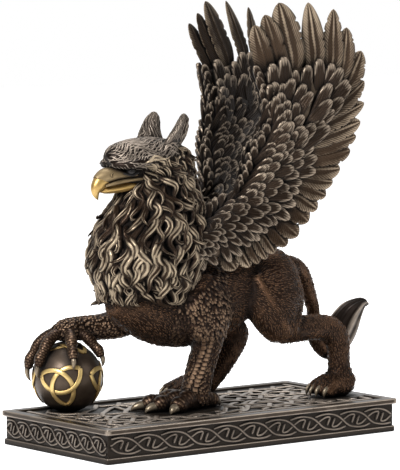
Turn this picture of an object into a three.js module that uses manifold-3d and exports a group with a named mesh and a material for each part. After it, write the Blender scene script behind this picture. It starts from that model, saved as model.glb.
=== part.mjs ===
// A griffin that stands on a low knotwork plinth and grips a ball with one talon, made as a
// cold-cast bronze figurine. Millimetres. +Z is up, the griffin looks along -X, and the
// origin is the middle of the plinth's underside.
import * as THREE from 'three';
import { mergeVertices } from 'three/addons/utils/BufferGeometryUtils.js';
import Module from 'manifold-3d';

const wasm = await Module();
wasm.setup();

// Plinth
const PLINTH_LENGTH = 216;
const PLINTH_WIDTH = 104;
const PLINTH_HEIGHT = 20;
const CAP_BAND_HEIGHT = 3.2;
const FOOT_BAND_HEIGHT = 3.6;
const FOOT_BAND_SETBACK = 1;
const FRIEZE_SETBACK = 2;
const RIM_WIDTH = 6.3;
const RECESS_DEPTH = 1.4;
const PAD_MARGIN = 3;

// Knotwork: the frieze round the sides and the plait in the sunk top
const SIDE_KNOT_PITCH = 19;
const END_KNOT_PITCH = 12.8;
const STRAND_WIDTH = 2.2;
const STRAND_RISE = 0.9;
const PLAIT_PITCH = 32;
const PLAIT_WIDTH = 4;
const PLAIT_RISE = 1.1;
const PLAIT_MARGIN = 4;

// Ball
const BALL_RADIUS = 20.4;
const BALL_FLAT_DEPTH = 0.6;
const TRIQUETRA_RADIUS = 12.4;
const RIBBON_WIDTH = 2.8;
const RIBBON_RISE = 1.3;
const GRIP_GAP = 0.3;
const PALM_LIFT = 7.5;

// Griffin, from its soles to its highest feather tip. Its points below are laid out at
// LAYOUT_HEIGHT and scaled to FIGURE_HEIGHT.
const FIGURE_HEIGHT = 237;
const LAYOUT_HEIGHT = 237;
const FLIGHT_FEATHERS = 22;
const FEATHER_PLEAT = 0.4;
const WING_ROOT_SWELL = 1.8;
const WING_ROOT_SHARE = 0.33;
const PRIMARY_NOTCH = 0.72;
const MANE_LOCKS = 18;
const MANE_PLEAT = 2.6;

// Facets that lie this close to their neighbours' surface are merged with them
const FACET_TOLERANCE = 0.03;

const BRONZE = { color: 0x3a2e27, roughness: 0.42, metalness: 0.75 };
const BALL_BRONZE = { color: 0x2e2722, roughness: 0.3, metalness: 0.8 };
const PLINTH_BRONZE = { color: 0x40372f, roughness: 0.36, metalness: 0.75 };

const FIGURE_SCALE = FIGURE_HEIGHT / LAYOUT_HEIGHT;
const SOLE = PLINTH_HEIGHT;
const Y_AXIS = new THREE.Vector3(0, 1, 0);
const Z_AXIS = new THREE.Vector3(0, 0, 1);

// Helpers that turn three.js geometry into solids and back

// Triangles that a pointed end has drawn together into a line are left out
function solid(geometry) {
  const bare = geometry.clone();
  bare.deleteAttribute('normal');
  bare.deleteAttribute('uv');
  const merged = mergeVertices(bare, 1e-4);
  const index = merged.index.array;
  const triVerts = [];
  for (let i = 0; i < index.length; i += 3) {
    const [a, b, c] = index.slice(i, i + 3);
    if (a !== b && b !== c && c !== a) triVerts.push(a, b, c);
  }
  return new wasm.Manifold(new wasm.Mesh({
    numProp: 3,
    vertProperties: new Float32Array(merged.attributes.position.array),
    triVerts: new Uint32Array(triVerts),
  }));
}

function join(solids) {
  return solids.reduce((whole, piece) => whole.add(piece));
}

function meshOf(name, body, finish) {
  const data = body.asOriginal().simplify(FACET_TOLERANCE).getMesh();
  const geometry = new THREE.BufferGeometry();
  geometry.setAttribute('position', new THREE.BufferAttribute(data.vertProperties, 3));
  geometry.setIndex(new THREE.BufferAttribute(data.triVerts, 1));
  geometry.computeVertexNormals();
  const mesh = new THREE.Mesh(geometry, new THREE.MeshStandardMaterial(finish));
  mesh.name = name;
  return mesh;
}

function block(length, width, height, x, y, z) {
  return solid(new THREE.BoxGeometry(length, width, height).translate(x, y, z + height / 2));
}

// A closed form bent along a smooth curve. Each station is [x, y, z, half width, half
// thickness], both 0 at a pointed end, and across(tangent, point, share along) gives the
// direction of the width.
function limb(stations, { around = 7, across = () => Y_AXIS } = {}) {
  const path = new THREE.CatmullRomCurve3(stations.map(([x, y, z]) => new THREE.Vector3(x, y, z)));
  const spans = stations.length - 1;
  const form = new THREE.CylinderGeometry(1, 1, 1, around, spans);
  const places = form.attributes.position;
  for (let i = 0; i < places.count; i += 1) {
    const along = THREE.MathUtils.clamp(places.getY(i) + 0.5, 0, 1);
    const [, , , halfWidth, halfThickness] = stations[Math.round(along * spans)];
    const point = path.getPoint(along);
    const tangent = path.getTangent(along);
    const side = across(tangent, point, along).clone();
    side.addScaledVector(tangent, -side.dot(tangent)).normalize();
    const face = new THREE.Vector3().crossVectors(side, tangent);
    point.addScaledVector(side, places.getX(i) * halfWidth);
    point.addScaledVector(face, places.getZ(i) * halfThickness);
    places.setXYZ(i, point.x, point.y, point.z);
  }
  return solid(form);
}

// Stations of the figure are laid out from its soles and scaled to FIGURE_HEIGHT
function figure(stations) {
  return stations.map(([x, y, z, w, t]) => [
    x * FIGURE_SCALE, y * FIGURE_SCALE, SOLE + z * FIGURE_SCALE, w * FIGURE_SCALE, t * FIGURE_SCALE,
  ]);
}

function figurePoint(x, y, z) {
  return new THREE.Vector3(x, y, z).multiplyScalar(FIGURE_SCALE).add(new THREE.Vector3(0, 0, SOLE));
}

// Where the feet and the ball stand, in the figure's layout
const BALL_PLACE = [-72.9, 34.4];
const NEAR_ANKLE = [-15, -13.5];
const NEAR_TOE_TIPS = [[-52, 1], [-50, -10.5], [-42.5, -25]];
const NEAR_BACK_TOE_TIP = [5, -10.8];
const NEAR_PAW = [87, -20];
const FAR_PAW = [9, 23];

function curve(points) {
  return new THREE.CatmullRomCurve3(points.map(([x, y, z]) => new THREE.Vector3(x, y, z)));
}

// Ball: where it stands, and its raised knots

// The ball stands on the plinth's sunk floor
const BALL_FLOOR = PLINTH_HEIGHT - RECESS_DEPTH;
const BALL_CENTRE = figurePoint(...BALL_PLACE, 0).setZ(BALL_FLOOR + BALL_RADIUS - BALL_FLAT_DEPTH);

const ARC_STEPS = 4;

// A triquetra is three half circles whose centres stand on a triangle with sides as long as
// their radius. It is drawn flat and wrapped on the ball round the direction `facing`.
function triquetra(facing, spin) {
  const outward = facing.clone().normalize();
  const right = new THREE.Vector3().crossVectors(Z_AXIS, outward).normalize();
  const up = new THREE.Vector3().crossVectors(outward, right);
  const arcRadius = TRIQUETRA_RADIUS;
  const centreReach = arcRadius / Math.sqrt(3);
  const wrap = (x, y) => {
    const reach = Math.hypot(x, y);
    const swing = reach / BALL_RADIUS;
    const heading = right.clone().multiplyScalar(x / reach).addScaledVector(up, y / reach);
    const direction = outward.clone().multiplyScalar(Math.cos(swing));
    direction.addScaledVector(heading, Math.sin(swing));
    return BALL_CENTRE.clone().addScaledVector(direction, BALL_RADIUS);
  };
  const strands = [];
  for (let k = 0; k < 3; k += 1) {
    const turn = spin + (k * 2 * Math.PI) / 3;
    const stations = [];
    for (let i = 0; i <= ARC_STEPS; i += 1) {
      const angle = turn + Math.PI / 2 + (i / ARC_STEPS) * Math.PI;
      const x = Math.cos(turn) * centreReach + Math.cos(angle) * arcRadius;
      const y = Math.sin(turn) * centreReach + Math.sin(angle) * arcRadius;
      const place = wrap(x, y);
      const girth = i === 0 || i === ARC_STEPS ? 0 : 1;
      stations.push([place.x, place.y, place.z, (girth * RIBBON_WIDTH) / 2, girth * RIBBON_RISE]);
    }
    strands.push(limb(stations, {
      around: 3,
      across: (tangent, point) => new THREE.Vector3().crossVectors(tangent, point.clone().sub(BALL_CENTRE)),
    }));
  }
  return join(strands);
}

function ballOfRadius(radius) {
  const sphere = new THREE.SphereGeometry(radius, 14, 7).rotateX(Math.PI / 2);
  return solid(sphere.translate(BALL_CENTRE.x, BALL_CENTRE.y, BALL_CENTRE.z));
}

// The knots face the ball's open sides. Its fourth side is under the forearm.
const KNOT_HEADINGS = [135, 225, 315];
const KNOT_SPIN = 220;

function makeBall() {
  const spin = THREE.MathUtils.degToRad(KNOT_SPIN);
  const knots = KNOT_HEADINGS.map((degrees) => {
    const heading = THREE.MathUtils.degToRad(degrees);
    return triquetra(new THREE.Vector3(Math.cos(heading), Math.sin(heading), 0), spin);
  });
  const reach = BALL_RADIUS * 3;
  const floor = block(reach, reach, reach, BALL_CENTRE.x, BALL_CENTRE.y, BALL_FLOOR - reach);
  return join([ballOfRadius(BALL_RADIUS), ...knots]).subtract(floor);
}

// Plinth

// One repeat of the frieze, along a wall: a long strand that waves over and under two
// crossings, and a short one with hooked ends that crosses it. Heights are shares of half
// the frieze's height, and lengths are shares of the repeat.
const LONG_STRAND = [[-1, 0.5], [-0.5, 0.84], [0.5, -0.84], [1, -0.5]];
const HOOKED_STRAND = [[-0.34, 0.34], [-0.4, -0.5], [0.4, 0.5], [0.34, -0.34]];

const FRIEZE_HEIGHT = PLINTH_HEIGHT - CAP_BAND_HEIGHT - FOOT_BAND_HEIGHT;

function friezeWall(length, distance, heading, knotPitch) {
  const usable = length - STRAND_WIDTH * 2;
  const repeats = Math.max(1, Math.round(usable / knotPitch));
  const pitch = usable / repeats;
  const middle = FOOT_BAND_HEIGHT + FRIEZE_HEIGHT / 2;
  const halfHeight = FRIEZE_HEIGHT / 2 - STRAND_WIDTH / 4;
  const limit = usable / 2;
  const strands = [];
  for (let n = 0; n <= repeats; n += 1) {
    const start = -usable / 2 + n * pitch;
    for (const outline of [LONG_STRAND, HOOKED_STRAND]) {
      const points = outline.map(([s, h]) => [start + s * pitch, h]).filter(([s]) => Math.abs(s) <= limit);
      if (points.length < 3) continue;
      const stations = points.map(([s, h], i) => {
        const girth = i === 0 || i === points.length - 1 ? 0 : 1;
        return [s, -distance, middle + h * halfHeight, (girth * STRAND_WIDTH) / 2, girth * STRAND_RISE];
      });
      strands.push(limb(stations, {
        around: 3,
        across: (tangent) => new THREE.Vector3().crossVectors(Y_AXIS, tangent),
      }));
    }
  }
  return join(strands).rotate([0, 0, heading]);
}

// Bars laid on both diagonals of the sunk top, which meet in points at its edges
function plait(length, width, floor) {
  const columns = Math.max(1, Math.round(length / PLAIT_PITCH));
  const rows = Math.max(1, Math.round(width / PLAIT_PITCH));
  const stepX = length / columns;
  const stepY = width / rows;
  const slope = Math.atan2(stepY, stepX);
  const bars = [];
  for (let i = -rows; i < columns; i += 1) {
    const start = Math.max(0, -i - 0.5);
    const end = Math.min(rows, columns - i - 0.5);
    const run = end - start;
    if (run <= 0) continue;
    const x = (i + 0.5 + (start + end) / 2) * stepX - length / 2;
    const y = ((start + end) / 2) * stepY - width / 2;
    const barLength = run * Math.hypot(stepX, stepY) + PLAIT_WIDTH / 2;
    const bar = new THREE.BoxGeometry(barLength, PLAIT_WIDTH, PLAIT_RISE * 2);
    bars.push(solid(bar.clone().rotateZ(slope).translate(x, y, floor)));
    bars.push(solid(bar.clone().rotateZ(-slope).translate(x, -y, floor)));
  }
  return join(bars);
}

// Low pads under the feet, level with the rim
function pad(x, y, halfLength, halfWidth) {
  const disc = new THREE.CylinderGeometry(1, 1, RECESS_DEPTH * 2, 12).rotateX(Math.PI / 2);
  disc.scale(halfLength, halfWidth, 1).translate(x, y, PLINTH_HEIGHT - RECESS_DEPTH);
  return solid(disc);
}

// Half length and half width of the ground that a taloned foot and a paw cover
const TOE_SPREAD = [31, 14];
const PAW_SPREAD = [18, 12];

function footPad([x, y], [halfLength, halfWidth]) {
  const s = FIGURE_SCALE;
  return pad(x * s, y * s, halfLength * s + PAD_MARGIN, halfWidth * s + PAD_MARGIN);
}

function makePlinth() {
  const friezeLength = PLINTH_LENGTH - FRIEZE_SETBACK * 2;
  const friezeWidth = PLINTH_WIDTH - FRIEZE_SETBACK * 2;
  const footLength = PLINTH_LENGTH - FOOT_BAND_SETBACK * 2;
  const footWidth = PLINTH_WIDTH - FOOT_BAND_SETBACK * 2;
  const recessLength = PLINTH_LENGTH - RIM_WIDTH * 2;
  const recessWidth = PLINTH_WIDTH - RIM_WIDTH * 2;
  const floor = PLINTH_HEIGHT - RECESS_DEPTH;
  const body = join([
    block(footLength, footWidth, FOOT_BAND_HEIGHT, 0, 0, 0),
    block(friezeLength, friezeWidth, PLINTH_HEIGHT, 0, 0, 0),
    block(PLINTH_LENGTH, PLINTH_WIDTH, CAP_BAND_HEIGHT, 0, 0, PLINTH_HEIGHT - CAP_BAND_HEIGHT),
  ]).subtract(block(recessLength, recessWidth, PLINTH_HEIGHT, 0, 0, floor));
  const seat = new THREE.CylinderGeometry(BALL_RADIUS / 2, BALL_RADIUS / 2, PLAIT_RISE * 2, 12);
  seat.rotateX(Math.PI / 2).translate(BALL_CENTRE.x, BALL_CENTRE.y, floor + PLAIT_RISE);
  const plaited = plait(recessLength - PLAIT_MARGIN * 2, recessWidth - PLAIT_MARGIN * 2, floor)
    .subtract(solid(seat));
  const pads = [
    footPad([NEAR_ANKLE[0] - 8, NEAR_ANKLE[1] + 1.5], TOE_SPREAD),
    footPad(NEAR_PAW, PAW_SPREAD),
    footPad(FAR_PAW, PAW_SPREAD),
  ];
  const friezes = [
    friezeWall(friezeLength, friezeWidth / 2, 0, SIDE_KNOT_PITCH),
    friezeWall(friezeWidth, friezeLength / 2, 90, END_KNOT_PITCH),
    friezeWall(friezeLength, friezeWidth / 2, 180, SIDE_KNOT_PITCH),
    friezeWall(friezeWidth, friezeLength / 2, 270, END_KNOT_PITCH),
  ];
  return join([body, plaited, ...pads, ...friezes]);
}

// Griffin: trunk, head and mane

function makeTrunk() {
  return limb(figure([
    [-66, 1, 64, 6, 6], [-56, 1, 63, 15, 13.5], [-43, 1, 62, 20, 20], [-28, 1, 61, 23, 24],
    [-10, 0, 61, 24, 25], [8, 0, 65, 22, 25], [26, 0, 69, 20, 21], [45, 0, 71, 19, 20],
    [55, 0, 71, 16, 18.5], [64, 0, 71, 9.5, 13], [70, 0, 70, 4, 7],
  ]), { around: 10 });
}

// The mane's section at each height: [x, height, half width, half length]
const MANE_SECTIONS = [
  [-44, 60, 15, 20], [-41, 72, 23, 29.5], [-41, 88, 27, 35], [-38, 104, 26, 34.5],
  [-33.5, 118, 22, 29], [-33, 128, 18.5, 24], [-31, 138, 15.5, 20], [-30, 150, 12.5, 15],
  [-32, 158, 6, 8],
];

// The mane is one pleated sheet of locks in tiers. Each row, from the chest up, has its
// height, how far the locks hang below it, how far they stand out, and their sway in columns.
const MANE_ROWS = [
  { height: 66, hang: 0, lift: -7, sway: 0.2 },
  { height: 68, hang: 5, lift: 2, sway: 0.4 },
  { height: 78, hang: 0, lift: 3, sway: -0.6 },
  { height: 89, hang: 4, lift: 0, sway: 0.5 },
  { height: 90, hang: 5, lift: 3, sway: 0.6 },
  { height: 101, hang: 0, lift: 2.4, sway: -0.5 },
  { height: 111, hang: 4, lift: -0.6, sway: 0.5 },
  { height: 112, hang: 5, lift: 2.2, sway: 0.6 },
  { height: 126, hang: 0, lift: 0.8, sway: -0.4 },
  { height: 141, hang: 0, lift: 0.2, sway: 0.3 },
  { height: 156, hang: 0, lift: 0, sway: 0 },
];

function manePlace(angle, height, lift, reach) {
  const k = Math.max(1, MANE_SECTIONS.findIndex((section) => section[1] >= height));
  const [lower, upper] = [MANE_SECTIONS[k - 1], MANE_SECTIONS[k]];
  const mix = (height - lower[1]) / (upper[1] - lower[1]);
  const [x, , halfWidth, halfLength] = lower.map((value, i) => THREE.MathUtils.lerp(value, upper[i], mix));
  const forward = Math.cos(angle) * (halfLength + lift) * reach;
  return figurePoint(x - forward, Math.sin(angle) * (halfWidth + lift) * reach, height);
}

// Columns of the sheet take turns as the valley beside a lock and the lock's own ridge
function makeMane() {
  const columns = MANE_LOCKS * 2;
  const rows = MANE_ROWS.length - 1;
  const sheet = new THREE.CylinderGeometry(1, 1, 1, columns, rows);
  const places = sheet.attributes.position;
  for (let i = 0; i < places.count; i += 1) {
    const { height, hang, lift, sway } = MANE_ROWS[Math.round((places.getY(i) + 0.5) * rows)];
    const column = Math.round((Math.atan2(places.getX(i), places.getZ(i)) / (2 * Math.PI)) * columns);
    const ridge = Math.abs(column % 2);
    const angle = (-(column + sway) / columns) * 2 * Math.PI;
    const reach = Math.hypot(places.getX(i), places.getZ(i));
    const put = manePlace(angle, height - hang * ridge, lift - (1 - ridge) * MANE_PLEAT, reach);
    places.setXYZ(i, put.x, put.y, put.z);
  }
  return solid(sheet);
}

function makeHead() {
  const skull = limb(figure([
    [-18, 0, 140, 12, 13], [-32, 0, 146, 15.5, 14.5], [-47, 0, 149, 15, 13], [-60, 0, 148, 13, 9.5],
    [-67.5, 0, 146, 9.6, 6.6], [-72.6, 0, 144.5, 3, 1.6],
  ]), { around: 7 });
  const cheeks = limb(figure([
    [-22, 0, 134, 13, 12], [-38, 0, 136, 14, 9], [-52, 0, 137, 10.5, 6], [-64, 0, 138, 6, 3.5],
  ]), { around: 7 });
  const upperBeak = limb(figure([
    [-54, 0, 139.4, 9, 5.4], [-66, 0, 138.8, 7, 5.2], [-73, 0, 136.6, 4.8, 4.4],
    [-77, 0, 132.6, 3.2, 3.3], [-77, 0, 128.8, 1.9, 2.1], [-75.6, 0, 124.6, 0, 0],
  ]), { around: 6 });
  const lowerBeak = limb(figure([
    [-46, 0, 131.6, 7.4, 3.8], [-62, 0, 131.2, 5.4, 3.3], [-73.4, 0, 130.8, 2.2, 2],
  ]), { around: 6 });
  const sides = [-1, 1].flatMap((side) => [
    limb(figure([
      [-72, side * 6.5, 145, 1.6, 2], [-64, side * 11, 144.6, 2.4, 2.6], [-52, side * 14.2, 145, 2, 3],
      [-42, side * 15, 147, 1, 1.6],
    ]), { around: 5 }),
    limb(figure([
      [-34, side * 10.5, 152, 10, 5], [-31.5, side * 12.3, 160, 8.6, 3.8],
      [-28.5, side * 13.8, 167.5, 5, 2.6], [-26, side * 15, 173, 0, 0],
    ]), { around: 6, across: () => new THREE.Vector3(0.787, -0.617 * side, 0) }),
  ]);
  return join([skull, cheeks, upperBeak, lowerBeak, ...sides]);
}

// Legs and tail

// A toe with its claw, from the foot to the point where the claw meets the ground
function groundToe(from, tip, size, knuckle) {
  const shares = [[0.1, 1.1], [0.42, 1], [0.72, 0.85], [0.86, 0.5], [1, 0]];
  const stations = shares.map(([share, girth]) => {
    const x = from[0] + (tip[0] - from[0]) * share;
    const y = from[1] + (tip[1] - from[1]) * share;
    const lift = size * girth * 0.8 + knuckle * Math.sin(Math.PI * Math.min(1, share * 1.15)) * (1 - share);
    return [x, y, lift, size * girth, size * girth];
  });
  return limb(figure(stations), {
    around: 5,
    across: (tangent) => new THREE.Vector3().crossVectors(Z_AXIS, tangent),
  });
}

function makeNearForeleg() {
  const leg = limb(figure([
    [-13, -12, 76, 9, 13], [-14, -18, 64, 10.5, 16], [-12, -20, 53, 9.5, 15.5], [-9.5, -18, 43, 8, 10.5],
    [-10, -15.5, 34, 7.6, 9.2], [-12.5, -14, 23, 7.2, 8.8], [-15, -13.5, 12, 7.6, 9], [-17, -13.5, 4, 8, 9],
  ]), { around: 7 });
  const toes = NEAR_TOE_TIPS.map((tip) => groundToe(NEAR_ANKLE, tip, 4.9, 4));
  return join([leg, ...toes, groundToe(NEAR_ANKLE, NEAR_BACK_TOE_TIP, 4.4, 2)]);
}

// A toe that bends over the ball, at a compass heading in degrees, as far down as `reach`
function grippingToe(heading, reach) {
  const bearing = THREE.MathUtils.degToRad(heading);
  const shares = [[0.14, 7.6, 4.6], [0.38, 8.6, 4], [0.64, 5.4, 3.7], [0.84, 3.8, 2.4], [1, 1.6, 0]];
  const stations = shares.map(([share, lift, girth]) => {
    const swing = THREE.MathUtils.degToRad(reach * share);
    const radius = BALL_RADIUS + lift * FIGURE_SCALE;
    const level = radius * Math.sin(swing);
    return [
      BALL_CENTRE.x + Math.cos(bearing) * level,
      BALL_CENTRE.y + Math.sin(bearing) * level,
      BALL_CENTRE.z + radius * Math.cos(swing),
      girth * FIGURE_SCALE,
      girth * FIGURE_SCALE,
    ];
  });
  return limb(stations, {
    around: 5,
    across: () => new THREE.Vector3(-Math.sin(bearing), Math.cos(bearing), 0),
  });
}

function makeFarForeleg() {
  const palm = BALL_CENTRE.clone();
  palm.z += BALL_RADIUS + PALM_LIFT * FIGURE_SCALE;
  const s = FIGURE_SCALE;
  const arm = limb([
    ...figure([[-16, 12, 68, 10, 14], [-30, 20, 57, 10, 11.5], [-42, 25, 49.5, 8.6, 9]]),
    [palm.x + 22 * s, palm.y - 4.5 * s, palm.z + 0.8 * s, 7.6 * s, 7.6 * s],
    [palm.x + 10 * s, palm.y - 1.5 * s, palm.z + 0.6 * s, 7 * s, 7 * s],
    [palm.x, palm.y, palm.z, 8 * s, 6.6 * s],
    [palm.x - 8 * s, palm.y + 1 * s, palm.z - 1.5 * s, 4.5 * s, 4.5 * s],
  ], { around: 7 });
  const grip = [[142, 98], [186, 90], [243, 72], [302, 74]];
  const toes = grip.map(([heading, reach]) => grippingToe(heading, reach));
  return join([arm, ...toes]).subtract(ballOfRadius(BALL_RADIUS + RIBBON_RISE + GRIP_GAP));
}

// A lion's paw whose toes point along -X
function paw([x, y]) {
  const parts = [limb(figure([
    [x + 10, y, 6.5, 6, 6], [x + 6, y, 7.5, 9, 8], [x - 4, y, 6.6, 11, 7.2], [x - 11, y, 5, 9.5, 5.2],
  ]), { around: 6 })];
  for (let k = 0; k < 4; k += 1) {
    const spread = (k - 1.5) * 5.4;
    const front = x - 16 + Math.abs(k - 1.5) * 1.6;
    parts.push(limb(figure([
      [front + 11, y + spread * 0.8, 7, 3, 4], [front + 4, y + spread, 5.8, 3.1, 4.6],
      [front - 2.6, y + spread, 1, 0, 0],
    ]), { around: 4 }));
  }
  return join(parts);
}

function makeNearHindLeg() {
  const thigh = limb(figure([
    [47, -8, 86, 8, 9], [43, -14, 76, 13, 15.5], [40, -17.5, 62, 14, 19.5], [42, -19, 49, 11.5, 14.5],
    [46.5, -19.5, 39, 8, 8.5],
  ]), { around: 7 });
  const shank = limb(figure([
    [44, -19, 43, 8, 8.5], [56, -19.5, 42.6, 7.8, 7.8], [69, -20, 42.7, 7.2, 7.6], [81, -20, 40.8, 6.8, 7.8],
    [88, -20, 33, 6.6, 7.8], [89.2, -20, 21, 6.2, 6.8], [90, -20, 9, 7.4, 8.2], [90, -20, 4, 7.6, 8.4],
  ]), { around: 7 });
  return join([thigh, shank, paw(NEAR_PAW)]);
}

function makeFarHindLeg() {
  const thigh = limb(figure([
    [54, 8, 84, 8, 9], [48, 14, 74, 13, 16], [38, 18, 62, 13.5, 18], [27, 20.5, 52, 10.5, 12],
    [20, 21.5, 46, 6, 6.5],
  ]), { around: 7 });
  const shank = limb(figure([
    [20, 21.5, 49, 7, 7.5], [32, 22, 44, 8, 8.6], [43, 22.5, 37, 7.4, 8.4], [38, 23, 26, 6.8, 7.6],
    [28, 23, 15, 7, 7.4], [19, 23, 7, 8, 6.5],
  ]), { around: 7 });
  return join([thigh, shank, paw(FAR_PAW)]);
}

function makeTail() {
  return limb(figure([
    [58, 1, 77, 8, 8], [70, 1.2, 78, 6, 5.6], [78, 1.5, 73, 4.6, 4.6], [84, 2, 61, 4, 4.2],
    [88, 2, 46, 3.8, 4], [89.4, 2, 32, 4.2, 4.6], [96, 2, 25, 5, 5.2], [105, 2, 26, 6, 7.6],
    [112, 2, 35.5, 6.4, 9.8], [119, 2, 46, 5, 7.2], [131, 2, 51.4, 0, 0],
  ]), { around: 6 });
}

// Wings

// Four rails run up each wing, from its lowest feather, which is inside the shoulder, to
// the first primary: the leading edge, the line that the feathers spring from, the edge of
// the coverts and the feathers' tips. Every feather lies on the curve through the last three.
const EDGE_RAIL = curve([
  [-24, 17, 94], [-11, 15.5, 109], [2, 12.5, 116], [13, 14, 121], [17.5, 18, 132], [20.5, 22.5, 146],
  [26, 26.5, 159], [28, 27.5, 172], [22, 25, 194],
]);
const SPRING_RAIL = curve([
  [-22, 17, 90], [2, 20, 105], [17, 19.5, 114], [25, 21, 124], [30, 23.5, 135], [35, 26, 147],
  [39.5, 28.5, 157], [41, 29, 167], [29, 26.5, 184],
]);
const COVERT_RAIL = curve([
  [-18, 18, 84], [18, 24.5, 97], [36, 26, 108], [50, 29, 126], [56, 30.5, 142], [60, 33, 160],
  [80, 36, 189], [58, 33, 202], [24, 26.5, 198],
]);
const TIP_RAIL = curve([
  [-12, 19, 77], [25, 27, 85], [46, 32, 98], [62, 34.5, 118.5], [81, 36.5, 144], [91, 38.5, 171],
  [88.5, 40, 209], [48.5, 38.6, 237], [11, 30.5, 223],
]);

// Shares of a feather's width at which the sheet has a column, and how full the feather's
// end is there: a valley, a shoulder and the tip
const FEATHER_COLUMNS = [[0, 0], [0.3, 0.75], [0.64, 1]];

// Rows of the sheet from the leading edge outward. Each has its shares of the feather's
// curve in a valley and at a tip, its half thickness, and how many columns its feathers are
// shifted. The first lies on the leading edge, which is off that curve.
const SHEET_ROWS = [
  { shares: [0, 0], halfThickness: 1, shift: 0 },
  { shares: [0, 0], halfThickness: 6, shift: 0 },
  { shares: [0.26, 0.36], halfThickness: 4.4, shift: 2 },
  { shares: [0.5, 0.62], halfThickness: 3, shift: 1 },
  { shares: [0.52, 0.64], halfThickness: 1.8, shift: 1 },
  { shares: [0.86, 1], halfThickness: 0, shift: 0 },
];

// All the feathers of a wing as one pleated sheet, with a step down at the end of each row
// of coverts
function makeFeatherSheet(side) {
  const perFeather = FEATHER_COLUMNS.length;
  const columns = FLIGHT_FEATHERS * perFeather;
  const rows = SHEET_ROWS.length - 1;
  const sheet = new THREE.BoxGeometry(1, 1, 1, columns, rows, 1);
  const places = sheet.attributes.position;
  for (let i = 0; i < places.count; i += 1) {
    const column = Math.round((places.getX(i) + 0.5) * columns);
    const row = Math.round((places.getY(i) + 0.5) * rows);
    const { shares, halfThickness, shift } = SHEET_ROWS[row];
    const step = FEATHER_COLUMNS[column % perFeather][0];
    const fullness = FEATHER_COLUMNS[(column + shift) % perFeather][1];
    const rise = (Math.floor(column / perFeather) + step) / FLIGHT_FEATHERS;
    const valley = row === rows ? THREE.MathUtils.lerp(shares[0], PRIMARY_NOTCH, rise ** 2) : shares[0];
    const share = THREE.MathUtils.lerp(valley, shares[1], fullness);
    const rails = [SPRING_RAIL, COVERT_RAIL, TIP_RAIL];
    const spine = new THREE.CatmullRomCurve3(rails.map((rail) => rail.getPoint(rise)));
    const place = row === 0 ? EDGE_RAIL.getPoint(rise) : spine.getPoint(share);
    const pleat = THREE.MathUtils.lerp(1 - FEATHER_PLEAT, 1, fullness);
    const swell = THREE.MathUtils.lerp(WING_ROOT_SWELL, 1, Math.min(1, rise / WING_ROOT_SHARE));
    const depth = places.getZ(i) * 2 * halfThickness * pleat * swell;
    const put = figurePoint(place.x, side * place.y + depth, place.z);
    places.setXYZ(i, put.x, put.y, put.z);
  }
  return solid(sheet);
}

function makeGriffin() {
  const whole = join([
    makeTrunk(), makeMane(), makeHead(), makeNearForeleg(), makeFarForeleg(),
    makeNearHindLeg(), makeFarHindLeg(), makeTail(), makeFeatherSheet(-1), makeFeatherSheet(1),
  ]);
  const reach = FIGURE_HEIGHT * 2;
  return whole.subtract(block(reach, reach, reach, 0, 0, SOLE - reach));
}

const group = new THREE.Group();
group.add(
  meshOf('plinth', makePlinth(), PLINTH_BRONZE),
  meshOf('ball', makeBall(), BALL_BRONZE),
  meshOf('griffin', makeGriffin(), BRONZE),
);

export default group;
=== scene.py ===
"""A griffin figurine in cold-cast bronze: it stands on a low knotwork plinth and grips a
ball with one talon. The points of the figure are in millimetres, x and y from the middle
of the plinth and z above the griffin's soles, and it looks along -X. The near side is -Y.
"""

import math

import bpy
import numpy as np
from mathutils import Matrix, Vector
from mathutils.bvhtree import BVHTree


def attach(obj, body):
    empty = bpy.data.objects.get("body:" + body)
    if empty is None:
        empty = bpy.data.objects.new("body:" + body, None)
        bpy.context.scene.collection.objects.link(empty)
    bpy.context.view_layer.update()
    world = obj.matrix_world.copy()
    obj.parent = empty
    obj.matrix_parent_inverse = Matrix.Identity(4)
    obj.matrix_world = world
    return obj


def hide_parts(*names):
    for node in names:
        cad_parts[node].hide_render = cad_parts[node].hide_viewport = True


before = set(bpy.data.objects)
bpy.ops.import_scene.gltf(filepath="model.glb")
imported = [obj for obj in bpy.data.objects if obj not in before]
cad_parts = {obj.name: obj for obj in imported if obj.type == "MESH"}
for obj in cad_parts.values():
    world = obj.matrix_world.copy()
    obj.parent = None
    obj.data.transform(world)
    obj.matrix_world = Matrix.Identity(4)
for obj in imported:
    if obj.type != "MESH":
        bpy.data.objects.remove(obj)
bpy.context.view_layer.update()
rng = np.random.default_rng(7)

# Sizes in millimetres, the same as the solids have
PLINTH = (216.0, 104.0, 20.0)
CAP_BAND = 3.2
FOOT_BAND = 3.6
FOOT_SETBACK = 1.0
FRIEZE_SETBACK = 2.0
RIM = 6.3
RECESS = 1.4
SIDE_KNOT_PITCH = 19.0
END_KNOT_PITCH = 12.8
STRAND_WIDTH = 1.3
PLAIT_WIDTH = 3.2
BALL_RADIUS = 20.4
BALL_CENTRE = np.array([-72.9, 34.4, 38.4])
PALM_LIFT = 7.5
SOLE = PLINTH[2]
NEAR_ANKLE = np.array([-15.0, -13.5])
NEAR_PAW = np.array([87.0, -20.0])
FAR_PAW = np.array([9.0, 23.0])
SKIN_VOXEL = 1.2
HEAD_VOXEL = 0.66
# A millimetre in metres, and the way up
MM = 0.001
UP = np.array([0, 0, 1.0])


# Forms: a form is a dictionary of points in mm, faces (a triangle's fourth corner is -1) and
# what the materials read: "grain" (mm along, mm across, and a tone from 0 to 2 that darkens
# it: at random up to 1, and past 1 as painted shade) and "ridge" (0 in a groove, 1 on top)

def unit(vectors):
    """The vectors 1 long"""
    return vectors / np.maximum(np.linalg.norm(vectors, axis=-1, keepdims=True), 1e-9)


def square_to(along, vectors):
    """The vectors turned square to a direction, and 1 long"""
    vectors = np.broadcast_to(np.asarray(vectors, float), along.shape)
    return unit(vectors - np.sum(vectors * along, -1, keepdims=True) * along)


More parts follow.
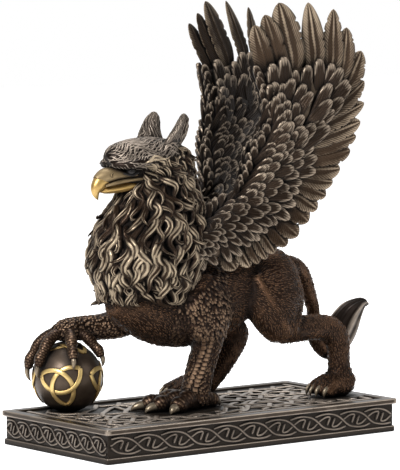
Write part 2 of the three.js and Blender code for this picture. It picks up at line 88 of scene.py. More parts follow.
def smooth(low, high, values):
    """0 up to one value, 1 from the other on, and a soft step between them"""
    share = np.clip((values - low) / (high - low), 0, 1)
    return share * share * (3 - 2 * share)


def stack(*axes):
    """Points from one array of numbers for each axis"""
    return np.stack(np.broadcast_arrays(*axes), -1)


def turns(count):
    """Angles spread evenly round a circle"""
    return np.linspace(0, 2 * np.pi, count, endpoint=False)


def mm_along(path):
    """The mm from the start of a path to each of its points"""
    return np.concatenate([[0], np.cumsum(np.linalg.norm(np.diff(path, axis=0), axis=1))])


def on_curve(rows, f):
    """The points at shares f between the middle two of four rows, on a smooth curve"""
    a, b, c, d = rows
    return 0.5 * (2 * b + (c - a) * f + (2 * a - 5 * b + 4 * c - d) * f ** 2
                  + (3 * b - a - 3 * c + d) * f ** 3)


def lengthened(rows):
    """The rows with one more at each end, carried on straight"""
    return np.concatenate([2 * rows[:1] - rows[1:2], rows, 2 * rows[-1:] - rows[-2:-1]])


def spline(stations, shares):
    """Points of the smooth curve through the stations, at shares 0 to 1 of it"""
    rows = lengthened(np.asarray(stations, float))
    spans = len(stations) - 1
    place = np.clip(np.asarray(shares, float), 0, 1) * spans
    k = np.minimum(place.astype(int), spans - 1)
    return on_curve([rows[k + i] for i in range(4)], (place - k)[..., None])


def flipped(faces):
    """The same faces, turned to look the other way"""
    return np.where(faces[:, 3:] < 0, faces[:, [2, 1, 0, 3]], faces[:, [3, 2, 1, 0]])


def shell(rings, grain=None, ridge=0.5, tone=0.5):
    """A closed form from rings of points, with a pole at each end"""
    rows, cols = rings.shape[:2]
    grain = np.zeros((rows, cols, 2)) if grain is None else grain
    ridge = np.broadcast_to(ridge, (rows, cols))[..., None]
    values = np.concatenate([rings, grain, ridge], -1)
    values = np.vstack([values.reshape(-1, 6), values[0].mean(0), values[-1].mean(0)])
    corner = np.arange(rows * cols).reshape(rows, cols)
    following = np.roll(corner, -1, 1)
    quads = np.stack([corner[:-1], following[:-1], following[1:], corner[1:]], -1)
    caps = [np.column_stack([*edge, np.full(cols, rows * cols + n), np.full(cols, -1)])
            for n, edge in enumerate(((following[0], corner[0]), (corner[-1], following[-1])))]
    faces = np.vstack([quads.reshape(-1, 4), *caps])
    a, b, c = (values[faces[:, n], :3] for n in range(3))
    d = values[np.where(faces[:, 3] < 0, faces[:, 0], faces[:, 3]), :3]
    inside_out = np.sum(a * (np.cross(b, c) + np.cross(c, d))) < 0
    return {"points": values[:, :3], "faces": flipped(faces) if inside_out else faces,
            "grain": np.column_stack([values[:, 3:5], np.full(len(values), tone)]),
            "ridge": values[:, 5]}


def bundle(forms):
    """Many forms as one"""
    forms = list(forms)
    starts = np.cumsum([0] + [len(form["points"]) for form in forms[:-1]])
    faces = [np.where(form["faces"] < 0, -1, form["faces"] + start)
             for form, start in zip(forms, starts)]
    return {"faces": np.vstack(faces), **{key: np.concatenate([form[key] for form in forms])
                                          for key in ("points", "grain", "ridge")}}


def sweep(centre, out, section, ridge=0.5, tone=0.5):
    """A closed form along a path. The section is (along, around, 2): mm across and out."""
    along = unit(np.gradient(centre, axis=0))
    out = square_to(along, out)
    across = np.cross(out, along)
    rings = centre[:, None] + section[..., :1] * across[:, None] + section[..., 1:] * out[:, None]
    return shell(rings, stack(mm_along(centre)[:, None], section[..., 0]), ridge, tone)


def limb(stations, along=40, around=28, across=(0, 1, 0), relief=None):
    """A rounded limb through stations of x, y, z, half width and half thickness. Its relief
    is a function of the share along, the turn around it and the mm along it."""
    share = np.linspace(0, 1, along)
    rows = spline(stations, share)
    centre, half = rows[:, :3], np.maximum(rows[:, 3:5], 0.02)
    tangent = unit(np.gradient(centre, axis=0))
    side = square_to(tangent, across)
    turn, length = turns(around)[None, :], mm_along(centre)[:, None]
    lift = relief(share[:, None], turn, length) if relief else np.zeros((along, around))
    width = np.cos(turn) * (half[:, :1] + lift)
    depth = np.sin(turn) * (half[:, 1:] + lift)
    rings = (centre[:, None] + width[..., None] * side[:, None]
             + depth[..., None] * np.cross(side, tangent)[:, None])
    ridge = 0.25 + 0.65 * lift / np.abs(lift).max() if relief else 0.5
    return shell(rings, stack(length, turn * half.mean(1)[:, None]), ridge)


def face_lists(form):
    return [face[:3] if face[3] < 0 else face for face in form["faces"].tolist()]


def write(mesh, name, values):
    """Gives each point of a mesh one number, or three, under a name"""
    values = np.ascontiguousarray(values, np.float32)
    kind, key = ("FLOAT_VECTOR", "vector") if values.ndim == 2 else ("FLOAT", "value")
    mesh.attributes.new(name, kind, "POINT").data.foreach_set(key, values.ravel())


def mesh_of(name, form):
    mesh = bpy.data.meshes.new(name)
    mesh.from_pydata((form["points"] * MM).tolist(), [], face_lists(form))
    write(mesh, "grain", form["grain"])
    write(mesh, "ridge", form["ridge"])
    return mesh


def form_of(mesh):
    """A Blender mesh back as a form in mm"""
    points = np.empty(len(mesh.vertices) * 3)
    mesh.vertices.foreach_get("co", points)
    points = points.reshape(-1, 3) * 1000
    faces = [list(face.vertices) + [-1] * (4 - len(face.vertices)) for face in mesh.polygons]
    grain = np.column_stack([points[:, :2], np.full(len(points), 0.5)])
    return {"points": points, "faces": np.array(faces), "grain": grain,
            "ridge": np.full(len(points), 0.5)}


def placed(name, data):
    """A new object in the scene"""
    thing = bpy.data.objects.new(name, data)
    bpy.context.collection.objects.link(thing)
    return thing


def baked(holder):
    """The plain mesh that an object's modifiers make of it"""
    evaluated = holder.evaluated_get(bpy.context.evaluated_depsgraph_get())
    return bpy.data.meshes.new_from_object(evaluated)


def dress(name, forms, material, solid):
    """Puts finished forms in the scene as one piece that stands for a solid"""
    mesh = mesh_of(name, bundle(forms))
    mesh.materials.append(material)
    mesh.shade_smooth()
    piece = placed(name, mesh)
    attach(piece, "root")
    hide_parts(solid)


def skin(name, forms, voxel, rounds):
    """Closed forms fused to one skin, its joints softened"""
    mesh = mesh_of(name, bundle(forms))
    holder = placed(name, mesh)
    fuse = holder.modifiers.new("fuse", "REMESH")
    fuse.mode = "VOXEL"
    fuse.voxel_size = voxel / 1000
    soften = holder.modifiers.new("soften", "SMOOTH")
    soften.factor = 0.5
    soften.iterations = rounds
    fused = baked(holder)
    form = form_of(fused)
    bpy.data.objects.remove(holder)
    bpy.data.meshes.remove(mesh)
    bpy.data.meshes.remove(fused)
    return form


def point_normals(form):
    points, faces = form["points"], form["faces"]
    third = np.where(faces[:, 3] < 0, faces[:, 0], faces[:, 3])
    normal = np.cross(points[faces[:, 2]] - points[faces[:, 0]],
                      points[third] - points[faces[:, 1]])
    total = np.zeros_like(points)
    for corner in range(4):
        used = faces[:, corner] >= 0
        np.add.at(total, faces[used, corner], normal[used])
    return unit(total)


def hollows(form, rounds=3, gain=2.2):
    """How far each point stands proud of its neighbours, 0 in a hollow and 1 on a ridge"""
    faces, points = form["faces"], form["points"]
    pairs = np.vstack([faces[:, [n, (n + 1) % 4]] for n in range(4)])
    pairs = pairs[(pairs >= 0).all(1)]
    count = np.bincount(pairs.ravel(), minlength=len(points))[:, None]

    def around(values):
        total = np.zeros_like(values)
        np.add.at(total, pairs[:, 0], values[pairs[:, 1]])
        np.add.at(total, pairs[:, 1], values[pairs[:, 0]])
        return total / np.maximum(count, 1)

    mean = points
    for _ in range(rounds):
        mean = around(mean)
    proud = np.sum((points - mean) * point_normals(form), -1, keepdims=True)
    return np.clip(0.5 + around(proud)[:, 0] * gain, 0, 1)


def surface_of(form):
    return BVHTree.FromPolygons(form["points"].tolist(), face_lists(form))


# Nodes

def node(tree, kind, *values, inputs=(), **settings):
    """Adds a node with its settings, and values or links for its inputs, the first ones in
    order and others by name or place. A node given as an input is linked by its first
    output in use."""
    made = tree.nodes.new(kind if "Node" in kind else "ShaderNode" + kind)
    for key, value in settings.items():
        setattr(made, key, value)
    for socket, value in {**dict(enumerate(values)), **dict(inputs)}.items():
        if isinstance(value, bpy.types.Node):
            value = next(output for output in value.outputs if output.enabled)
        if isinstance(value, bpy.types.NodeSocket):
            tree.links.new(value, made.inputs[socket])
        else:
            made.inputs[socket].default_value = value
    return made


def linear(hexcode, share=1):
    """An sRGB hex colour as Blender's linear one, or a share of its light"""
    parts = [int(hexcode[i:i + 2], 16) / 255 for i in (1, 3, 5)]
    return (*(share * (c / 12.92 if c <= 0.04045 else ((c + 0.055) / 1.055) ** 2.4)
              for c in parts), 1.0)


def laying_tree():
    """Lays one small motif on points that each have a turn and a size"""
    tree = bpy.data.node_groups.new("lay_motif", "GeometryNodeTree")
    for name, way, kind in (
            ("Geometry", "INPUT", "Geometry"), ("Motif", "INPUT", "Object"),
            ("Growth", "INPUT", "Float"), ("Unevenness", "INPUT", "Float"),
            ("Seed", "INPUT", "Int"), ("Finish", "INPUT", "Material"),
            ("Geometry", "OUTPUT", "Geometry")):
        tree.interface.new_socket(name, in_out=way, socket_type="NodeSocket" + kind)
    given = node(tree, "NodeGroupInput").outputs
    turn, size = (node(tree, "GeometryNodeInputNamedAttribute", name, data_type="FLOAT_VECTOR")
                  for name in ("turn", "size"))
    least, most = (node(tree, "Math", 1.0, given["Unevenness"], operation=operation)
                   for operation in ("SUBTRACT", "ADD"))
    uneven = node(tree, "FunctionNodeRandomValue", data_type="FLOAT",
                  inputs={2: least, 3: most, "Seed": given["Seed"]})
    grown = node(tree, "Math", uneven, given["Growth"], operation="MULTIPLY")
    motif = node(tree, "GeometryNodeObjectInfo", given["Motif"])
    laid = node(tree, "GeometryNodeInstanceOnPoints", given["Geometry"], inputs={
        "Instance": motif.outputs["Geometry"],
        "Rotation": node(tree, "FunctionNodeEulerToRotation", turn),
        "Scale": node(tree, "VectorMath", size, inputs={"Scale": grown}, operation="SCALE")})
    real = node(tree, "GeometryNodeRealizeInstances", laid)
    coated = node(tree, "GeometryNodeSetMaterial", real, inputs={"Material": given["Finish"]})
    node(tree, "NodeGroupOutput", coated)
    return tree


LAYING = laying_tree()


def lay(motif, places, along, out, sizes, material, unevenness=0.06, seed=1, proud=0.0):
    """One form with the motif at each place, its length along one vector and its top out
    along the other. A motif is 1 mm long, 1 mm wide and 1 mm high. What `proud` says is
    added to its ridge, as the brush reaches some places more than others."""
    x_axis = unit(along)
    z_axis = square_to(x_axis, out)
    y_axis = np.cross(z_axis, x_axis)
    turn = stack(np.arctan2(y_axis[:, 2], z_axis[:, 2]), np.arcsin(np.clip(-x_axis[:, 2], -1, 1)),
                 np.arctan2(x_axis[:, 1], x_axis[:, 0]))
    cloud = bpy.data.meshes.new("places")
    cloud.from_pydata((places / 1000).tolist(), [], [])
    for name, values in (("turn", turn), ("size", sizes), ("tone", rng.random(len(places))),
                         ("proud", proud + np.zeros(len(places)))):
        write(cloud, name, values)
    holder, stencil = placed("places", cloud), placed("motif", mesh_of("motif", motif))
    modifier = holder.modifiers.new("lay", "NODES")
    modifier.node_group = LAYING
    given = {item.name: item.identifier for item in LAYING.interface.items_tree
             if item.in_out == "INPUT"}
    for name, value in (("Motif", stencil), ("Growth", 1.0), ("Unevenness", unevenness),
                        ("Seed", seed), ("Finish", material)):
        modifier[given[name]] = value
    laid = baked(holder)
    form = form_of(laid)
    read = {}
    for name, size in (("grain", 3), ("tone", 1), ("ridge", 1), ("proud", 1)):
        values = np.empty(len(laid.vertices) * size, np.float32)
        laid.attributes[name].data.foreach_get("vector" if size == 3 else "value", values)
        read[name] = values.reshape(-1, size).astype(float)
    form["grain"] = np.column_stack([read["grain"][:, :2], read["tone"]])
    form["ridge"] = np.clip(read["ridge"] + read["proud"], 0, 1)[:, 0]
    for thing in (holder, stencil):
        bpy.data.objects.remove(thing)
    bpy.data.meshes.remove(laid)
    return form


# Materials

# What they share, in metres and in shares of open air: a slow mottle about 11 mm wide, how
# far the occlusion looks for the hollows' dark wash and painted shade, where it is whole and
# where it ends, and the depth of the cast texture, drawn coarser than the real one so that it shows
MOTTLE = {"Scale": 90.0, "Detail": 6.0, "Roughness": 0.6}
WASH_SHADE_REACH = 0.006
WASH_SHADE_WHOLE, WASH_SHADE_ENDS = 0.42, 0.97
TEXTURE_DEPTH = 0.0003
# How rough the hollows' dark wash and painted shade are and what share of the metal they keep,
# how much a tone of 2 darkens the base and roughens it as painted shade, and how far the mottle
# changes the polish
WASH_SHADE_ROUGHNESS, WASH_SHADE_METAL = 0.75, 0.35
DARKEST, DARK_ROUGHNESS = 0.3, 0.25
POLISH_SPREAD = 0.08
# Engraved lines: spacings that the mottle moves them by, where their wave becomes flat on
# top, and the half widths in mm between which they end at a feather's smooth shaft
LINE_WANDER, LINE_TOP = 1.2, -0.3
SHAFT_HALF_WIDTHS = (0.3, 0.8)


def bronze(name, hollow, base, rubbed, metal, rough, rub=(0.45, 0.85), lines=None, speckle=0.5,
           texture=0.7):
    """Cold-cast bronze is resin filled with bronze powder. It is cast dark, and its ridges
    are rubbed paler with a dry brush, so its three colours follow the relief, between the
    ridges in `rub`. The hollow colour, mixed in where ambient occlusion finds a hollow, is
    partly a dark wash and partly painted shade. `lines` are fine grooves: how fast they run
    down and aside, the mm between them, their depth and how much darker they are."""
    material = bpy.data.materials.new(name)
    material.use_nodes = True
    tree = material.node_tree
    tree.nodes.clear()
    place = node(tree, "TexCoord").outputs["Object"]
    grain = node(tree, "Attribute", attribute_name="grain").outputs["Vector"]
    ridge = node(tree, "Attribute", attribute_name="ridge").outputs["Fac"]
    split = node(tree, "SeparateXYZ", grain).outputs
    mottle = node(tree, "TexNoise", place, inputs=MOTTLE).outputs["Fac"]
    air = node(tree, "AmbientOcclusion", inputs={"Distance": WASH_SHADE_REACH}, samples=6).outputs["AO"]
    height, relief = ridge, mottle
    if lines:
        down, aside, spacing, depth, cut = lines
        across = node(tree, "Math", split["Y"], operation="ABSOLUTE")
        phase = node(tree, "Math", across, aside, operation="MULTIPLY")
        phase = node(tree, "Math", split["X"], down, phase, operation="MULTIPLY_ADD")
        phase = node(tree, "Math", mottle, spacing * LINE_WANDER, phase, operation="MULTIPLY_ADD")
        phase = node(tree, "Math", phase, 2 * math.pi / spacing, operation="MULTIPLY")
        wave = node(tree, "Math", phase, operation="SINE")
        line = node(tree, "MapRange", wave, -1.0, LINE_TOP)
        shaft = node(tree, "MapRange", across, *SHAFT_HALF_WIDTHS, 1.0 if down else 0.0, 0.0)
        line = node(tree, "Math", line, shaft, operation="MAXIMUM")
        relief = node(tree, "Math", line, depth, mottle, operation="MULTIPLY_ADD")
        height = node(tree, "MapRange", line, 0.0, 1.0, -cut, 0.0)
        height = node(tree, "Math", height, ridge, operation="ADD")
    worn = node(tree, "Math", mottle, speckle, height, operation="MULTIPLY_ADD")
    worn = node(tree, "Math", worn, speckle * 0.5, operation="SUBTRACT")
    worn = node(tree, "MapRange", worn, *rub)
    # Where occlusion finds a hollow the colour goes to the hollow colour: partly a dark wash,
    # partly painted shade
    open_air = node(tree, "MapRange", air, WASH_SHADE_WHOLE, WASH_SHADE_ENDS)
    worn = node(tree, "Math", worn, open_air, operation="MULTIPLY")
    dark = node(tree, "MapRange", split["Z"], 0.0, 2.0)
    toned = node(tree, "Mix", dark, inputs={6: linear(base), 7: linear(base, DARKEST)},
                 data_type="RGBA")
    deep = node(tree, "Mix", open_air, inputs={6: linear(hollow), 7: toned}, data_type="RGBA")
    colour = node(tree, "Mix", worn, inputs={6: deep, 7: linear(rubbed)}, data_type="RGBA")
    bump = node(tree, "Bump", inputs={"Height": relief, "Strength": texture,
                                      "Distance": TEXTURE_DEPTH})
    polish = node(tree, "MapRange", mottle, 0.0, 1.0, rough - POLISH_SPREAD, rough + POLISH_SPREAD)
    polish = node(tree, "Math", dark, DARK_ROUGHNESS, polish, operation="MULTIPLY_ADD")
    polish = node(tree, "Mix", open_air, inputs={2: WASH_SHADE_ROUGHNESS, 3: polish}, data_type="FLOAT")
    metallic = node(tree, "MapRange", open_air, 0.0, 1.0, WASH_SHADE_METAL * metal, metal)
    shader = node(tree, "BsdfPrincipled", colour, metallic, polish,
                  inputs={"Specular IOR Level": 0.2, "Normal": bump})
    node(tree, "OutputMaterial", shader)
    return material


# Fine slanting barbs along a shaft, pale on the vanes' crests
FEATHER_BRONZE = bronze("cold_cast_bronze_dry_brushed_feathers", "#070504", "#3a2d22", "#bba78f",
                        0.8, 0.31, rub=(0.42, 1.02), lines=(0.6, -0.8, 1.25, 1.1, 0.24))
# Small feathers with pale rims, and deep dark gaps between them that are partly a dark wash and
# partly painted shade
COVERT_BRONZE = bronze("cold_cast_bronze_dry_brushed_coverts", "#060404", "#2b2119", "#bcaa96",
                       0.8, 0.31, rub=(0.4, 1.0), lines=(0.0, 1.0, 1.1, 1.2, 0.24))
# The palest rub, in streaks that run down the strands of the locks
HAIR_BRONZE = bronze("cold_cast_bronze_dry_brushed_locks", "#050303", "#33261c", "#d2bea2",
                     0.8, 0.28, rub=(0.4, 1.05), lines=(0.0, 1.0, 0.6, 0.8, 0.2))
# Greyer and less rubbed, on the short plumage of the head
CROWN_BRONZE = bronze("cold_cast_bronze_crown_feathers", "#070504", "#231b16", "#a89a8c",
                      0.8, 0.3, rub=(0.5, 1.2))
# A warm brown wash, duller and speckled
FUR_BRONZE = bronze("cold_cast_bronze_warm_brown_hide", "#090504", "#261910", "#8b674c",
                    0.75, 0.36, rub=(0.4, 1.15), speckle=0.6, texture=0.5)
# The same wash, with a paler rub on each scale's free edge
SCALE_BRONZE = bronze("cold_cast_bronze_scaled_legs", "#090504", "#2a1c14", "#a08369",
                      0.75, 0.33, rub=(0.45, 1.1), speckle=0.7, texture=0.5)
# Smooth and rubbed nearly all over
CLAW_BRONZE = bronze("cold_cast_bronze_rubbed_claws", "#1a1512", "#4c4035", "#b3a48c",
                     0.75, 0.3, rub=(0.3, 0.9), texture=0.3)
# Yellower, between the bronze of the face and the gold of the beak
CERE_BRONZE = bronze("cold_cast_bronze_brushed_cere", "#1f1710", "#5f4f3a", "#b09a72",
                     0.6, 0.4, rub=(0.35, 1.0), texture=0.4)
# Dark and glossy, so that the eye catches one small light
EYE_BRONZE = bronze("cold_cast_bronze_polished_eye", "#0c0b0b", "#2c2a2a", "#5a5654",
                    0.8, 0.2, rub=(0.5, 1.1), texture=0.1)
# A satin brown ground, nearly free of texture
BALL_BRONZE = bronze("cold_cast_bronze_satin_ball", "#0f0b09", "#43382f", "#77685a",
                     0.7, 0.34, rub=(0.4, 1.1), texture=0.12)
# Gold paint brushed over the dark casting: thin and brown on the knots' flanks
KNOT_PAINT = bronze("brushed_gold_paint_on_knots", "#2e1f0c", "#8d6d3a", "#cdb277",
                    0.85, 0.32, rub=(0.4, 1.0), texture=0.3)
# The same paint, full and warm on the beak
GOLD_PAINT = bronze("brushed_gold_paint", "#5b4018", "#b4945a", "#dfc993",
                    0.8, 0.34, rub=(0.5, 0.9), texture=0.2)
# Polished and greyer, its sunk ground darkened nearly black as painted shade
PLINTH_BRONZE = bronze("cold_cast_bronze_plinth", "#0b0908", "#3a322b", "#a09386",
                       0.8, 0.24, rub=(0.5, 1.1), texture=0.12)


# Trunk, legs and tail

def figure(stations):
    return [[x, y, z + SOLE, w, t] for x, y, z, w, t in stations]


TRUNK = figure([
    [-66, 1, 64, 6, 6], [-56, 1, 63, 15, 13.5], [-43, 1, 62, 20, 20], [-28, 1, 61, 23, 24],
    [-10, 0, 61, 24, 25], [8, 0, 65, 22, 25], [26, 0, 69, 20, 21], [45, 0, 71, 19, 20],
    [55, 0, 71, 16, 18.5], [64, 0, 71, 9.5, 13], [70, 0, 70, 4, 7],
])
NEAR_FORELEG = figure([
    [-13, -12, 76, 9, 13], [-14, -18, 64, 10.5, 16], [-12, -20, 53, 9.5, 15.5],
    [-9.5, -18, 43, 8, 10.5], [-10, -15.5, 34, 7.4, 9], [-12.5, -14, 23, 7, 8.6],
    [-15, -13.5, 12, 7.4, 8.8], [-17, -13.5, 4, 7.6, 8.6],
])
NEAR_THIGH = figure([
    [47, -8, 86, 8, 9], [43, -14, 76, 13, 15.5], [40, -17.5, 62, 14, 19.5],
    [42, -19, 49, 11.5, 14.5], [46.5, -19.5, 39, 8, 8.5],
])
# Two muscles that stand out on the near thigh, at its front edge and down its back
THIGH_MUSCLES = [
    figure([[25, -19, 76, 3, 3], [28.5, -24.6, 67, 4, 4.2], [34, -27.6, 56, 4, 4.2],
            [40, -27.2, 47, 3.8, 4], [46, -23.5, 40.5, 3, 3]]),
    figure([[54, -13, 78, 4, 4], [54.5, -20.8, 66, 4.4, 4.4], [51.5, -24.4, 54, 4.2, 4.2],
            [48.5, -25.6, 45, 3.4, 3.6], [46, -23, 39, 3, 3]]),
]
NEAR_SHANK = figure([
    [44, -19, 43, 8, 8.5], [56, -19.5, 42.6, 7.8, 7.8], [69, -20, 42.7, 7.2, 7.6],
    [81, -20, 40.8, 6.8, 7.8], [88, -20, 33, 6.6, 7.8], [89.2, -20, 21, 6.2, 6.8],
    [90, -20, 9, 7.4, 8.2], [90, -20, 4, 7.6, 8.4],
])
FAR_THIGH = figure([
    [54, 8, 84, 8, 9], [48, 14, 74, 13, 16], [38, 18, 62, 13.5, 18], [27, 20.5, 52, 10.5, 12],
    [20, 21.5, 46, 6, 6.5],
])
FAR_SHANK = figure([
    [20, 21.5, 49, 7, 7.5], [32, 22, 44, 8, 8.6], [43, 22.5, 37, 7.4, 8.4], [38, 23, 26, 6.8, 7.6],
    [28, 23, 15, 7, 7.4], [19, 23, 7, 8, 6.5],
])
TAIL = figure([
    [58, 1, 77, 8, 8], [70, 1.2, 78, 6, 5.6], [78, 1.5, 73, 4.6, 4.6], [84, 2, 61, 4, 4.2],
    [88, 2, 46, 3.8, 4], [89.4, 2, 32, 4.2, 4.6], [97, 2, 25, 5, 5.2],
])
# The palm of the raised arm: x, y and z from its place over the ball, half width and half
# thickness
PALM = [(22, -4.5, 0.8, 7.6, 7.6), (10, -1.5, 0.6, 7, 7), (0, 0, 0, 8, 6.6),
        (-8, 1, -1.5, 4.5, 4.5)]
FAR_ARM = figure([[-16, 12, 68, 10, 14], [-30, 20, 57, 10, 11.5], [-42, 25, 49.5, 8.6, 9]])
FAR_ARM += [[*(BALL_CENTRE + [x, y, BALL_RADIUS + PALM_LIFT + z]), w, t] for x, y, z, w, t in PALM]

# A paw's toes, counted from its middle line, the mm between two of them, how far in front
# of the paw's middle they end, and how much less each one further out does
PAW_TOES = (-1.5, -0.5, 0.5, 1.5)
TOE_SPACING, TOE_REACH, TOE_STEP = 5.4, 15.4, 1.6


def paw_toe(place, toe):
    """How far aside a toe of a paw lies, and the x of its front"""
    return toe * TOE_SPACING, place[0] - TOE_REACH + abs(toe) * TOE_STEP


def paw(place):
    """A paw and its four toes"""
    x, y = place
    yield limb(figure([[x + 10, y, 6.5, 6, 6], [x + 6, y, 7.5, 9, 8], [x - 4, y, 6.6, 11, 7.2],
                       [x - 11, y, 5, 9.5, 5.2]]))
    for toe in PAW_TOES:
        aside, front = paw_toe(place, toe)
        yield limb(figure([[front + 13, y + aside * 0.7, 7.4, 2.6, 3.4],
                           [front + 7, y + aside * 0.95, 7.6, 3.2, 3.8],
                           [front + 1.8, y + aside, 4.6, 3.1, 4.2],
                           [front - 0.6, y + aside, 2.6, 2.2, 2.4]]), 24, 20)


def paw_claws(place):
    for toe in PAW_TOES:
        aside, front = paw_toe(place, toe)
        y = place[1] + aside
        yield limb(figure([[front + 2.4, y, 6.4, 1.2, 1.4], [front - 1, y, 5.8, 1.3, 1.7],
                           [front - 3, y, 3.6, 0.9, 1.3], [front - 3.4, y, 0.8, 0.1, 0.1]]), 14, 10)


# The mane's section at each height above the soles: x, height, half width, half length
MANE_SECTIONS = np.array([
    [-44, 60, 13, 17], [-41, 72, 21, 27], [-41, 88, 25, 32.5], [-38, 104, 24, 32],
    [-33.5, 118, 20, 27], [-33, 128, 17, 22], [-31, 138, 14.5, 18.5], [-30, 150, 12, 14.5],
    [-32, 158, 6, 8],
], float)
MANE_TABLE = spline(MANE_SECTIONS, np.linspace(0, 1, 200))


def mane_place(angle, height, lift):
    """A point off the mane's surface, at an angle from the front round to the far side"""
    x, half_width, half_length = (np.interp(height, MANE_TABLE[:, 1], MANE_TABLE[:, n])
                                  for n in (0, 2, 3))
    return stack(x - np.cos(angle) * (half_length + lift), np.sin(angle) * (half_width + lift),
                 height + SOLE)


# Tones of painted shade: under the locks, under the brows, on the wings' inner faces between them,
# and on the plinth's sunk ground
CORE_SHADE_TONE, SHADED_TONE, BACK_SHADE_TONE = 1.5, 1.6, 1.7
CORE_RADIUS = 30
CORE_GROOVES = 44


def mane_core():
    """Hair under the locks, darkened and barely rubbed as painted shade, with wavy grooves that run
    down it
    """
    heights = np.linspace(61, 157, 90)[:, None]
    angle = turns(160)[None, :]
    wave = 0.09 * np.sin(heights * 0.34 + 3 * np.sin(3 * angle)) + 0.05 * np.sin(heights * 0.8)
    groove = np.cos(CORE_GROOVES * (angle + wave))
    rings = mane_place(angle + 0 * heights, heights + 0 * angle, 0.5 * groove)
    return shell(rings, stack(heights, CORE_RADIUS * (angle + wave)), 0.12 + 0.14 * groove,
                 CORE_SHADE_TONE)


def build_body():
    """The trunk, legs and tail as one skin, its muscles a little brushed"""
    limbs = [limb(TRUNK, 80, 48), *map(limb, (NEAR_FORELEG, FAR_ARM, NEAR_THIGH, *THIGH_MUSCLES)),
             limb(NEAR_SHANK, 60), limb(FAR_THIGH), limb(FAR_SHANK, 60), limb(TAIL, 60, 20)]
    form = skin("body", [*limbs, *paw(NEAR_PAW), *paw(FAR_PAW)], SKIN_VOXEL, 6)
    form["ridge"] = 0.28 * hollows(form) + 0.28 * hollows(form, 16, 0.8)
    return form


def scattered(form, keep, gap):
    """Which points of a form to use: those that pass a test, about one for each gap"""
    candidates = rng.permutation(np.flatnonzero(keep))
    cells = np.floor(form["points"][candidates] / gap).astype(int)
    return candidates[np.sort(np.unique(cells, axis=0, return_index=True)[1])]


def motif_hair():
    """A tapered hair 1 mm long and 1 mm wide, of four faces"""
    points = np.array([[0, 0.5, -0.1], [0, -0.5, -0.1], [0.25, 0, 1], [1, 0, 0.15]])
    faces = np.array([[0, 1, 2, -1], [1, 0, 3, -1], [2, 1, 3, -1], [0, 2, 3, -1]])
    return {"points": points, "faces": faces, "grain": np.tile([0, 0, 0.5], (4, 1)),
            "ridge": np.array([0.2, 0.2, 1.0, 0.75])}


def motif_scale(shares=(0.04, 0.45, 0.82, 1.0), roundness=2.0):
    """A scale 1 mm long and 1 mm wide, with a free edge that stands up"""
    share = np.array(shares)[:, None]
    across = np.array([-1, -0.55, 0.55, 1, 0])
    width = 0.5 * np.clip(1 - np.abs(2 * share - 1) ** roundness, 0.08, 1) ** (1 / roundness)
    dome = np.array([0, 1, 1, 0, -0.6]) * (0.4 + 0.6 * smooth(0, 0.8, share))
    ridge = np.clip(0.08 + 0.25 * dome + 0.42 * smooth(0.5, 1, share), 0, 1)
    return shell(stack(share, width * across, dome), None, ridge)


def above_soles(points):
    """x, y and the height above the soles"""
    x, y, z = points.T
    return x, y, z - SOLE


def flow(points):
    """The way that the fur lies: back along the trunk and down the legs"""
    x, y, z = above_soles(points)
    down = 1 - smooth(38, 66, z)
    sway = 0.35 * np.sin(x * 0.23 + z * 0.17) + 0.2 * np.sin(z * 0.41 - y * 0.3)
    return unit(stack(1.15 - down, sway * 0.6, -0.3 - 0.9 * down + 0.4 * sway))


def combed(ways, outs, lift):
    """The ways laid along the surface, their far ends lifted a little"""
    return square_to(outs, ways) + lift * outs


def on_foreleg(x, y, z):
    return (y < -3) & (x < 6.5) & (x > -34) & (z < 62)


def on_shoulder(x, y, z):
    return (np.abs(y) > 10) & (x < 1) & (x > -36) & (z > 46) & (z < 84 + 0.6 * x)


def on_arm(x, y, z):
    return (x < -34) & (z < 60) & (y > 8)


FUR_GAP = 1.06
HAIR = np.array([3.4, 0.72, 0.34])
# How much of its length, width and height a hair loses on a muscle
HAIR_ON_MUSCLE = np.array([1.5, 0.3, 0.6])

body = build_body()
body_normals = point_normals(body)
muscles = hollows(body, 16, 0.8) - 0.6
spots = above_soles(body["points"])
furry = ~on_foreleg(*spots) & ~on_arm(*spots) & ~on_shoulder(*spots)
picked = scattered(body, furry & (spots[2] > 3) & (spots[2] < 100), FUR_GAP)
hairs = body["points"][picked] + rng.normal(0, 0.3, (len(picked), 3)) - 0.05 * body_normals[picked]
bend = np.clip(muscles[picked, None], 0, 0.26)
fur = lay(motif_hair(), hairs, combed(flow(hairs), body_normals[picked], 0.03 - 0.5 * bend),
          body_normals[picked], HAIR * (1 - HAIR_ON_MUSCLE * bend), FUR_BRONZE, 0.3, 1,
          0.8 * muscles[picked])
dress("griffin_body", [body], FUR_BRONZE, "griffin")
dress("griffin_fur", [fur], FUR_BRONZE, "griffin")

# Where small scales and shoulder feathers grow, the gap between them, their size and way
SCALE_KINDS = [(on_foreleg, 1.9, (2.9, 2.2, 0.34), (0.1, 0, -1)),
               (on_arm, 1.9, (2.6, 2.1, 0.3), (-1, 0.3, -0.4)),
               (on_shoulder, 2.5, (4.8, 2.7, 0.5), (0.25, 0, -1))]


def leg_scales():
    """The small scales, and the feathers on the shoulders"""
    for where, gap, size, way in SCALE_KINDS:
        picked = scattered(body, where(*spots) & (spots[2] > 1.5), gap)
        places, outs = body["points"][picked], body_normals[picked]
        ways = np.array(way) + rng.normal(0, 0.2, (len(places), 3))
        sizes = np.tile(size, (len(places), 1))
        yield lay(motif_scale(), places - 0.12 * outs, combed(ways, outs, 0.1), outs, sizes,
                  SCALE_BRONZE, 0.2, 2, 0.3 * muscles[picked])


# The heights of the shin's plates, and which way its front faces at three of them
PLATE_LEVELS = np.arange(7, 47, 2.5)
SHIN_FACING = ([7, 25, 47], [200, 222, 236])


